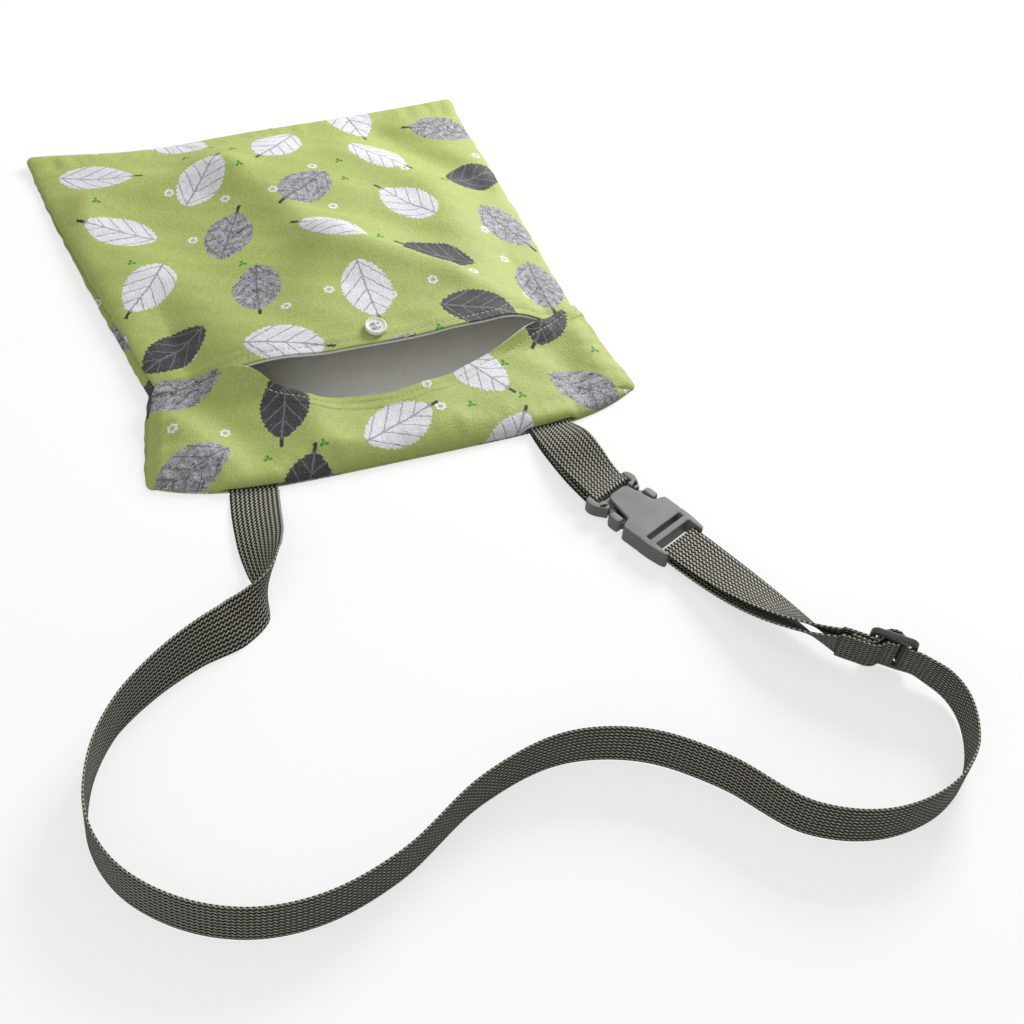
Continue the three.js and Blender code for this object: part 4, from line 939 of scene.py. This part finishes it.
def printed_cotton(cloth):
    """Printed plain-weave cotton: soft and matt, with a brushed print of leaves, rings and tufts.

    Leaves lie on a half-drop grid, each turned by a hash of its cell. A leaf is the overlap of two circles,
    its edge roughened by noise, with a midrib and side veins, and contour lines of noise scribble it.
    """
    material, add = new_material("printed_cotton")
    cell = cloth.motif_cell * MILLIMETRES
    half = cloth.motif_length * MILLIMETRES / 2
    wide = cloth.motif_width * MILLIMETRES / 2
    radius = (half ** 2 + wide ** 2) / (2 * wide)
    place = flat_place(add)

    # Half-drop cells
    column = add("SeparateXYZ", add("VectorMath:DIVIDE", place, (cell, cell, 1)))
    odd = add("Math:FLOORED_MODULO", add("Math:FLOOR", column), 2.0)
    drop = add("CombineXYZ", {"Y": add("Math:MULTIPLY", odd, cell / 2)})
    which, local = cells_of(add, add("VectorMath:ADD", place, drop), cell)
    chance = add("TexWhiteNoise", which)
    pick = add("SeparateColor", add("TexWhiteNoise", which, out="Color"), out="Green")
    ragged = add("TexNoise", place, 0.55, 3.0, out="Color")
    ragged = add("VectorMath:SUBTRACT", ragged, (0.5, 0.5, 0.5))
    ragged = add("VectorMath:SCALE", ragged, ROUGH_EDGE)
    local = add("VectorMath:ADD", local, ragged)
    leaf = add("VectorRotate:Z_AXIS", {"Vector": local, "Angle": add("Math:MULTIPLY", chance, TURN)})
    x = add("SeparateXYZ", leaf)
    y = add("Math:ABSOLUTE", add("SeparateXYZ", leaf, out="Y"))

    # Leaf outline, midrib, side veins and stalk
    shifted = add("Math:ADD", y, radius - wide)
    reach = add("VectorMath:LENGTH", add("CombineXYZ", x, shifted))
    notch = add("Math:ABSOLUTE", add("Math:SINE", add("Math:MULTIPLY", x, math.pi / NOTCH_STEP)))
    notched = add("Math:MULTIPLY_ADD", notch, NOTCH_DEPTH, reach)
    blade = add("MapRange:SMOOTHSTEP", notched, radius + 0.3, radius - 0.3, 0.0, 1.0)
    midrib = add("MapRange:SMOOTHSTEP", y, 0.35, 0.75, 1.0, 0.0)
    comb = add("Math:PINGPONG", add("Math:MULTIPLY_ADD", y, -VEIN_SLANT, x), VEIN_STEP / 2)
    vein = add("MapRange:SMOOTHSTEP", comb, 0.3, 0.75, 1.0, 0.0)
    lines = add("Math:MAXIMUM", midrib, vein)
    beyond = add("MapRange", x, half - 3, half - 2, 0.0, 1.0)
    before = add("MapRange", x, half + 4, half + 4.6, 1.0, 0.0)
    thin = add("MapRange:SMOOTHSTEP", y, 0.8, 1.2, 1.0, 0.0)
    stalk = add("Math:MULTIPLY", add("Math:MULTIPLY", beyond, before), thin)

    # Inks: brushed white, mottled grey, scribbled charcoal
    blotch = add("TexNoise", place, 0.28, 5.0)
    curl = add("TexNoise", place, 0.2, 1.0)
    turns = add("Math:PINGPONG", add("Math:MULTIPLY", curl, 14.0), 0.5)
    scribble = add("MapRange:SMOOTHSTEP", turns, 0.08, 0.22, 1.0, 0.0)
    grain = add("TexNoise", place, 2.2, 3.0)
    brushed = add("MapRange", blotch, 0.35, 0.75, 0.0, 0.16)
    white = add("Mix:RGBA", brushed, cloth.white_ink, cloth.grey_ink)
    mottled = add("MapRange", blotch, 0.35, 0.62, 0.0, 0.55)
    grey = add("Mix:RGBA", mottled, cloth.grey_ink, cloth.white_ink)
    grey = add("Mix:RGBA", add("Math:MULTIPLY", scribble, 0.8), grey, cloth.dark_ink)
    charred = add("Math:MULTIPLY", add("Math:MULTIPLY", scribble, grain), 0.6)
    dark = add("Mix:RGBA", charred, cloth.dark_ink, cloth.grey_ink)
    is_grey = add("Math:GREATER_THAN", pick, GREY_FROM)
    is_dark = add("Math:GREATER_THAN", pick, DARK_FROM)
    ink = add("Mix:RGBA", is_grey, white, grey)
    ink = add("Mix:RGBA", is_dark, ink, dark)
    rib = add("Mix:RGBA", is_dark, cloth.dark_ink, cloth.grey_ink)
    ink = add("Mix:RGBA", add("Math:MULTIPLY", lines, 0.55), ink, rib)

    # Small rings and tufts on a second, closer grid
    which, mark = cells_of(add, add("VectorMath:ADD", place, MARK_SHIFT), MARK_CELL)
    luck = add("TexWhiteNoise", which)
    shift = add("VectorMath:SUBTRACT", add("TexWhiteNoise", which, out="Color"), (0.5, 0.5, 0.5))
    mark = add("VectorMath:ADD", mark, add("VectorMath:SCALE", shift, MARK_SCATTER))
    mark_x = add("SeparateXYZ", mark)
    mark_y = add("SeparateXYZ", mark, out="Y")
    spread = add("Math:ARCTAN2", mark_x, mark_y)
    far = add("VectorMath:LENGTH", add("CombineXYZ", mark_x, mark_y))
    petals = add("Math:COSINE", add("Math:MULTIPLY", spread, 6.0))
    petal_edge = add("Math:MULTIPLY_ADD", petals, PETAL_DEPTH, RING_RADIUS)
    off_ring = add("Math:ABSOLUTE", add("Math:SUBTRACT", far, petal_edge))
    ring = add("MapRange:SMOOTHSTEP", off_ring, 0.6, 0.95, 1.0, 0.0)
    ring = add("Math:MULTIPLY", ring, add("Math:LESS_THAN", luck, RINGS_BELOW))
    lobes = add("Math:ABSOLUTE", add("Math:COSINE", add("Math:MULTIPLY", spread, 1.5)))
    in_lobe = add("Math:SUBTRACT", add("Math:MULTIPLY", lobes, TUFT_RADIUS), far)
    tuft = add("MapRange:SMOOTHSTEP", in_lobe, 0.0, 0.5, 0.0, 1.0)
    tuft = add("Math:MULTIPLY", tuft, add("Math:GREATER_THAN", luck, TUFTS_FROM))

    # Print laid on the ground colour
    cloudy = add("TexNoise", place, 0.03, 6.0)
    base = add("Mix:RGBA", cloudy, cloth.ground, cloth.ground_shade)
    prints = ((tuft, cloth.tuft_ink), (ring, cloth.white_ink), (stalk, cloth.dark_ink), (blade, ink))
    for mask, paint in prints:
        base = add("Mix:RGBA", mask, base, paint)
    threads = woven_threads(add, place)
    base = add("VectorMath:SCALE", base, add("MapRange", threads, 0.0, 1.0, 0.87, 1.12))
    relief = add("Bump", {**WOVEN_RELIEF, "Height": threads})
    add("OutputMaterial", add("BsdfPrincipled", {
        "Base Color": base, "Roughness": 0.6, "Specular IOR Level": 0.4, "Normal": relief}))
    return material


def plain_cotton(cloth):
    """Plain-weave lining cotton: matt and off-white, with the faint clouding of unbleached thread."""
    material, add = new_material("plain_cotton")
    place = flat_place(add)
    cloudy = add("TexNoise", place, 0.08, 5.0)
    base = add("Mix:RGBA", cloudy, cloth.lining, shaded(cloth.lining, 0.86))
    relief = add("Bump", {**WOVEN_RELIEF, "Height": woven_threads(add, place)})
    add("OutputMaterial", add("BsdfPrincipled", {
        "Base Color": base, "Roughness": 0.88, "Specular IOR Level": 0.2, "Sheen Weight": 0.1,
        "Normal": relief}))
    return material


def sewing_thread(name, tint):
    """Spun polyester thread: slight gloss, plies twisted every 1.3 mm and painted shade in their grooves."""
    material, add = new_material(name)
    place = add("TexCoord", out="Object")
    twist_and_groove_shade = add("TexWave:DIAGONAL", place, 500.0, 2.0, out="Fac")
    # Painted shade: the grooves between the plies are a quarter darker; the same pattern gives the relief.
    base = add("Mix:RGBA", twist_and_groove_shade, shaded(tint, 0.75), tint)
    relief = add("Bump", {"Strength": 0.4, "Distance": 0.0001, "Height": twist_and_groove_shade})
    add("OutputMaterial", add("BsdfPrincipled", {
        "Base Color": base, "Roughness": 0.6, "Sheen Weight": 0.2, "Normal": relief}))
    return material


def woven_webbing(strap):
    """Woven polypropylene webbing: columns of light floats that wave along it over a dark ground.

    Each column is a triangle wave of its place along the strap, and its floats are dimmer on one slope.
    """
    material, add = new_material("polypropylene_webbing")
    column = STRAP_WIDTH * MILLIMETRES / strap.rib_count
    pitch = strap.weave_pitch * MILLIMETRES
    place = flat_place(add)
    u = add("SeparateXYZ", place)
    v = add("SeparateXYZ", place, out="Y")
    wave = add("Math:MULTIPLY_ADD", add("Math:PINGPONG", v, pitch / 2), column * 0.9 / pitch, u)
    across = add("Math:PINGPONG", wave, column / 2)
    float_line = add("MapRange:SMOOTHSTEP", across, column * 0.22, column * 0.36, 0.0, 1.0)
    slope = add("Math:SUBTRACT", add("Math:FLOORED_MODULO", v, pitch), pitch / 2)
    slope = add("MapRange:SMOOTHSTEP", slope, -pitch / 16, pitch / 16, 1.0, 0.5)
    thread = add("Math:MULTIPLY", float_line, slope)
    fibre = add("TexNoise", place, 1.7, 4.0)
    mix = add("Math:MULTIPLY", thread, add("MapRange", fibre, 0.2, 0.8, 0.6, 1.15))
    base = add("Mix:RGBA", mix, strap.thread_dark, strap.thread_light)
    gloss = add("MapRange", fibre, 0.3, 0.7, 0.5, 0.7)
    relief = add("Bump", {"Strength": 0.7, "Distance": 0.00035, "Height": thread})
    add("OutputMaterial", add("BsdfPrincipled", {
        "Base Color": base, "Roughness": gloss, "Specular IOR Level": 0.12, "Sheen Weight": 0.03,
        "Normal": relief}))
    return material


def moulded_plastic(name, tint, roughness):
    """Injection-moulded plastic: an even colour with a satin skin, clouds 11 mm wide and a 0.4 mm grain."""
    material, add = new_material(name)
    place = add("TexCoord", out="Object")
    cloudy = add("TexNoise", place, 90.0, 4.0)
    grain = add("TexNoise", place, 2600.0, 2.0)
    base = add("Mix:RGBA", cloudy, tint, shaded(tint, 0.88))
    skin = add("MapRange", cloudy, 0.3, 0.7, roughness - 0.05, roughness + 0.07)
    relief = add("Bump", {"Strength": 0.12, "Distance": 0.0001, "Height": grain})
    add("OutputMaterial", add("BsdfPrincipled", {
        "Base Color": base, "Roughness": skin, "IOR": 1.48, "Specular IOR Level": 0.4, "Normal": relief}))
    return material


def moulding(name, node, material, body, radius):
    """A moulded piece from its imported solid: meshed evenly, relaxed to round its edges, then thinned out."""
    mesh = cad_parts[node].data.copy()
    mesh.name = name
    mesh.materials.clear()
    piece = new_object(name, mesh, material, body)
    even = piece.modifiers.new("even", "REMESH")
    even.mode = "VOXEL"
    even.voxel_size = radius / 2
    even.use_smooth_shade = True
    relax = piece.modifiers.new("round", "SMOOTH")
    relax.factor = 0.5
    relax.iterations = RELAX_PASSES
    thin = piece.modifiers.new("thin", "DECIMATE")
    thin.ratio = KEPT_FACES
    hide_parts(node)
    return piece


class PEGBAG_OT_stage(bpy.types.Operator):
    """Camera at the photograph's angle, pale floor, white surround and soft studio light"""

    bl_idname = "pegbag.stage"
    bl_label = "Stage"

    def execute(self, context):
        scene = context.scene
        scene.view_settings.view_transform = "Standard"
        self.add_camera(scene)
        self.add_floor(scene)
        self.add_world(scene)
        for softbox in SOFTBOXES:
            self.add_lamp(scene, *softbox)
        return {"FINISHED"}

    def add_camera(self, scene):
        """Camera axes: right and up turned by the roll, back from azimuth and elevation."""
        e, a, r = CAMERA_ELEVATION, CAMERA_AZIMUTH, CAMERA_ROLL
        back = Vector((math.sin(a) * math.cos(e), -math.cos(a) * math.cos(e), math.sin(e)))
        right = Vector((math.cos(a), math.sin(a), 0))
        up = back.cross(right)
        side = right * math.cos(r) + up * math.sin(r)
        top = up * math.cos(r) - right * math.sin(r)
        data = bpy.data.cameras.new("photo_camera")
        data.sensor_width = SENSOR
        data.lens = CAMERA_FOCAL / PICTURE_SIDE * SENSOR
        data.clip_start = 0.05
        camera = bpy.data.objects.new("photo_camera", data)
        turned = Matrix((side, top, back)).transposed().to_4x4()
        camera.matrix_world = Matrix.Translation(CAMERA_PLACE) @ turned
        scene.collection.objects.link(camera)
        scene.camera = camera

    def add_floor(self, scene):
        """A wide level floor that keeps the shadow, lifted to white for the camera, most of all far out."""
        corners = np.array([(-1, -1, 0), (1, -1, 0), (1, 1, 0), (-1, 1, 0)]) * FLOOR_REACH
        mesh = mesh_of("studio_floor", corners, [(0, 1, 2, 3)])
        material, add = new_material("studio_paper")
        away = add("VectorMath:LENGTH", add("TexCoord", out="Object"))
        lifted = add("MapRange", away, *GLOW_FROM_TO, *GLOW_NEAR_FAR)
        glow = add("Math:MULTIPLY", self.seen_directly(add), lifted)
        paper = add("BsdfDiffuse", shaded(WHITE, PAPER_GREY))
        light = add("Emission", WHITE, glow)
        add("OutputMaterial", add("AddShader", paper, light))
        mesh.materials.append(material)
        floor = bpy.data.objects.new("studio_floor", mesh)
        scene.collection.objects.link(floor)

    def add_world(self, scene):
        """An even surround, white where it is seen and softer where it lights the object."""
        world = bpy.data.worlds.new("studio_surround")
        world.use_nodes = True
        world.node_tree.nodes.clear()
        add = partial(add_node, world.node_tree)
        soft = add("Background", WHITE, SURROUND_LIGHT)
        white = add("Background", WHITE, 1.0)
        add("OutputWorld", add("MixShader", self.seen_directly(add), soft, white))
        scene.world = world

    def seen_directly(self, add):
        """1 for a camera, glossy or transmission ray, 0 for light that falls on the object."""
        camera, glossy, through = (
            add("LightPath", out=f"Is {ray} Ray") for ray in ("Camera", "Glossy", "Transmission"))
        return add("Math:MAXIMUM", add("Math:MAXIMUM", camera, glossy), through)

    def add_lamp(self, scene, name, place, size, power):
        """A square softbox aimed at the middle of the object."""
        data = bpy.data.lights.new(name, "AREA")
        data.size = size
        data.energy = power
        lamp = bpy.data.objects.new(name, data)
        lamp.location = place
        lamp.rotation_euler = (Vector(LAMP_AIM) - Vector(place)).to_track_quat("-Z", "Y").to_euler()
        scene.collection.objects.link(lamp)


class PEGBAG_OT_straps(bpy.types.Operator):
    """Long strap through slider and buckle, and the short strap with the plug"""

    bl_idname = "pegbag.straps"
    bl_label = "Straps"

    def execute(self, context):
        strap = context.scene.peg_bag_strap
        cloth = context.scene.peg_bag_cloth
        woven = woven_webbing(strap)
        webbing, path, run = self.add_webbing("long_webbing", "strap_long", long_strap_line(), strap, woven)
        dark = moulded_plastic("dark_acetal", strap.dark_plastic, 0.42)
        grey = moulded_plastic("grey_acetal", strap.grey_plastic, 0.45)
        slider = moulding("slider_moulding", "slider", dark, "bag", strap.edge_radius)
        socket = moulding("socket_moulding", "buckle_socket", grey, "bag", strap.edge_radius)
        plug = (("plug_moulding", "plug_frame", "bag"), ("left_prong", "prong_left", "prong_left"),
                ("right_prong", "prong_right", "prong_right"))
        for name, node, body in plug:
            moulding(name, node, grey, body, strap.edge_radius)
        tail = self.tail_stitches(cloth, strap)
        loop, path, run = self.add_webbing("short_webbing", "strap_short", short_strap_line(), strap, woven)
        return {"FINISHED"}

    def add_webbing(self, name, node, line, strap, material):
        """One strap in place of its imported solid; gives the piece, its line and its length."""
        centres, across, place = even_line(*line)
        mesh = webbing_mesh(name, centres, across, place, strap)
        piece = new_object(name, mesh, material, "bag")
        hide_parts(node)
        return piece, centres, float(place[-1])

    def tail_stitches(self, cloth, strap):
        """A row of stitches across the returning layer, just off its face, with the tail sewn under it."""
        face = BACK_SIDE + STRAP_THICK / 2 + STITCH_CLEARANCE
        count = int(TAIL_STITCH_LENGTH / cloth.stitch_pitch)
        rise = (np.arange(count) - (count - 1) / 2) * cloth.stitch_pitch
        middle = on_slider(SLIDER_HALF + SEWN_LENGTH / 2, face)
        places = middle + np.outer(rise, SLIDER_UP)
        along = np.tile(SLIDER_UP, (count, 1))
        up = np.tile(SLIDER_SIDE, (count, 1))
        mesh = stitch_row("tail_sewing", places, along, up, cloth.stitch_length, cloth.stitch_width)
        thread = sewing_thread("strap_thread", strap.tail_thread)
        sewing = new_object("tail_sewing", mesh, thread, "bag")
        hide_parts("tail_stitch")
        return sewing


class PEGBAG_OT_cloth(bpy.types.Operator):
    """Printed panels of the pouch and their plain linings"""

    bl_idname = "pegbag.cloth"
    bl_label = "Cloth"

    def execute(self, context):
        cloth = context.scene.peg_bag_cloth
        cotton = printed_cotton(cloth)
        plain = plain_cotton(cloth)
        above, below = -(LAYER_GAP + LINING), CLOTH + LAYER_GAP
        # Name, node, surface, edges, place in the print and hold, then the lining's depth, margin and ends
        panels = (
            ("back", "back_panel", back_place, back_edges, (0.31, 0.07), "laid",
             above, 0.05, (0.02, 0.98)),
            ("front", "front_panel", front_place, front_edges, (0.02, 0.02), "draped",
             below, 0.012, (-0.004, 0.99)),
            ("band", "top_band", band_place, band_edges, (-0.36, 0.13), "draped",
             below, 0.012, (0.08, 1.004)),
        )
        for name, node, place, edges, offset, held, depth, margin, ends in panels:
            outer = panel_grid(place, edges, *CLOTH_GRID)
            self.add_sheet(name + "_cloth", outer, 0.0, CLOTH, offset, cotton, "printed_cotton",
                           node, held, node)
            inner = panel_grid(place, edges, *LINING_GRID, margin, ends)
            self.add_sheet(name + "_lining_cloth", inner, depth, LINING, offset, plain, "lining_cotton",
                           name + "_lining", held, node)
        return {"FINISHED"}

    def add_sheet(self, name, grid, depth, thick, offset, material, slot, node, held, rests_on):
        """A sheet whose faces lie at a depth, and at that plus its thickness, under a grid."""
        normals = grid_normals(grid)
        flat = flat_cut(grid, offset)
        mesh = closed_sheet(name, grid - normals * depth, grid - normals * (depth + thick), flat)
        piece = new_object(name, mesh, material, "bag")
        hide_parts(node)


class PEGBAG_OT_sewing(bpy.types.Operator):
    """Rows of stitches along the two hems of the mouth"""

    bl_idname = "pegbag.sewing"
    bl_label = "Sewing"

    def execute(self, context):
        cloth = context.scene.peg_bag_cloth
        across = np.linspace(-STITCHED_SHARE, STITCHED_SHARE, STITCH_SAMPLES)
        hem_x = seam_x(across, FRONT_HEM_Y)
        shown = across[front_hem_y(hem_x) > band_hem_y(hem_x)]
        rows = (
            ("front_hem_sewing", "front_hem_stitch", front_place, shown, cloth.hem_thread, "hem_thread",
             lambda a: front_hem_y(seam_x(a, FRONT_HEM_Y)) + HEM_STITCH_INSET),
            ("band_hem_sewing", "band_hem_stitch", band_place, across, cloth.band_thread, "band_thread",
             lambda a: band_hem_y(seam_x(a, FRONT_HEM_Y)) - HEM_STITCH_INSET),
        )
        for name, node, place, line, tint, slot, hem in rows:
            mesh = hem_stitches(name, place, hem, line, cloth)
            piece = new_object(name, mesh, sewing_thread(name + "_thread", tint), "bag")
            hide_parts(node)
        return {"FINISHED"}


class PEGBAG_OT_button(bpy.types.Operator):
    """Button and the thread that holds it"""

    bl_idname = "pegbag.button"
    bl_label = "Button"

    def execute(self, context):
        white = moulded_plastic("polished_polyester", context.scene.peg_bag_strap.white_plastic, 0.22)
        moulding("button_moulding", "button", white, "bag", BUTTON_EDGE)
        thread = sewing_thread("button_cotton", context.scene.peg_bag_cloth.button_thread)
        moulding("button_sewing", "button_thread", thread, "bag", THREAD_EDGE)
        return {"FINISHED"}


class PEGBAG_PT_builder(bpy.types.Panel):
    """Lists the pieces of the peg bag"""

    bl_idname = "PEGBAG_PT_builder"
    bl_label = "Peg bag"
    bl_space_type = "VIEW_3D"
    bl_region_type = "UI"
    bl_category = "Peg bag"

    def draw(self, context):
        for group in (context.scene.peg_bag_cloth, context.scene.peg_bag_strap):
            for key in group.__annotations__:
                self.layout.prop(group, key)
        for operator in OPERATORS:
            self.layout.operator(operator.bl_idname)


OPERATORS = (PEGBAG_OT_stage, PEGBAG_OT_straps, PEGBAG_OT_cloth, PEGBAG_OT_sewing, PEGBAG_OT_button)
CLASSES = (PegBagCloth, PegBagStrap, *OPERATORS, PEGBAG_PT_builder)


def register():
    """Registers the classes and hangs the settings on the scene."""
    for item in CLASSES:
        bpy.utils.register_class(item)
    bpy.types.Scene.peg_bag_cloth = bpy.props.PointerProperty(type=PegBagCloth)
    bpy.types.Scene.peg_bag_strap = bpy.props.PointerProperty(type=PegBagStrap)


def unregister():
    """Removes the settings and the classes."""
    del bpy.types.Scene.peg_bag_strap
    del bpy.types.Scene.peg_bag_cloth
    for item in reversed(CLASSES):
        bpy.utils.unregister_class(item)


def main():
    """Builds every piece."""
    register()
    bpy.ops.pegbag.stage()
    bpy.ops.pegbag.straps()
    bpy.ops.pegbag.cloth()
    bpy.ops.pegbag.sewing()
    bpy.ops.pegbag.button()


if __name__ == "__main__":
    main()
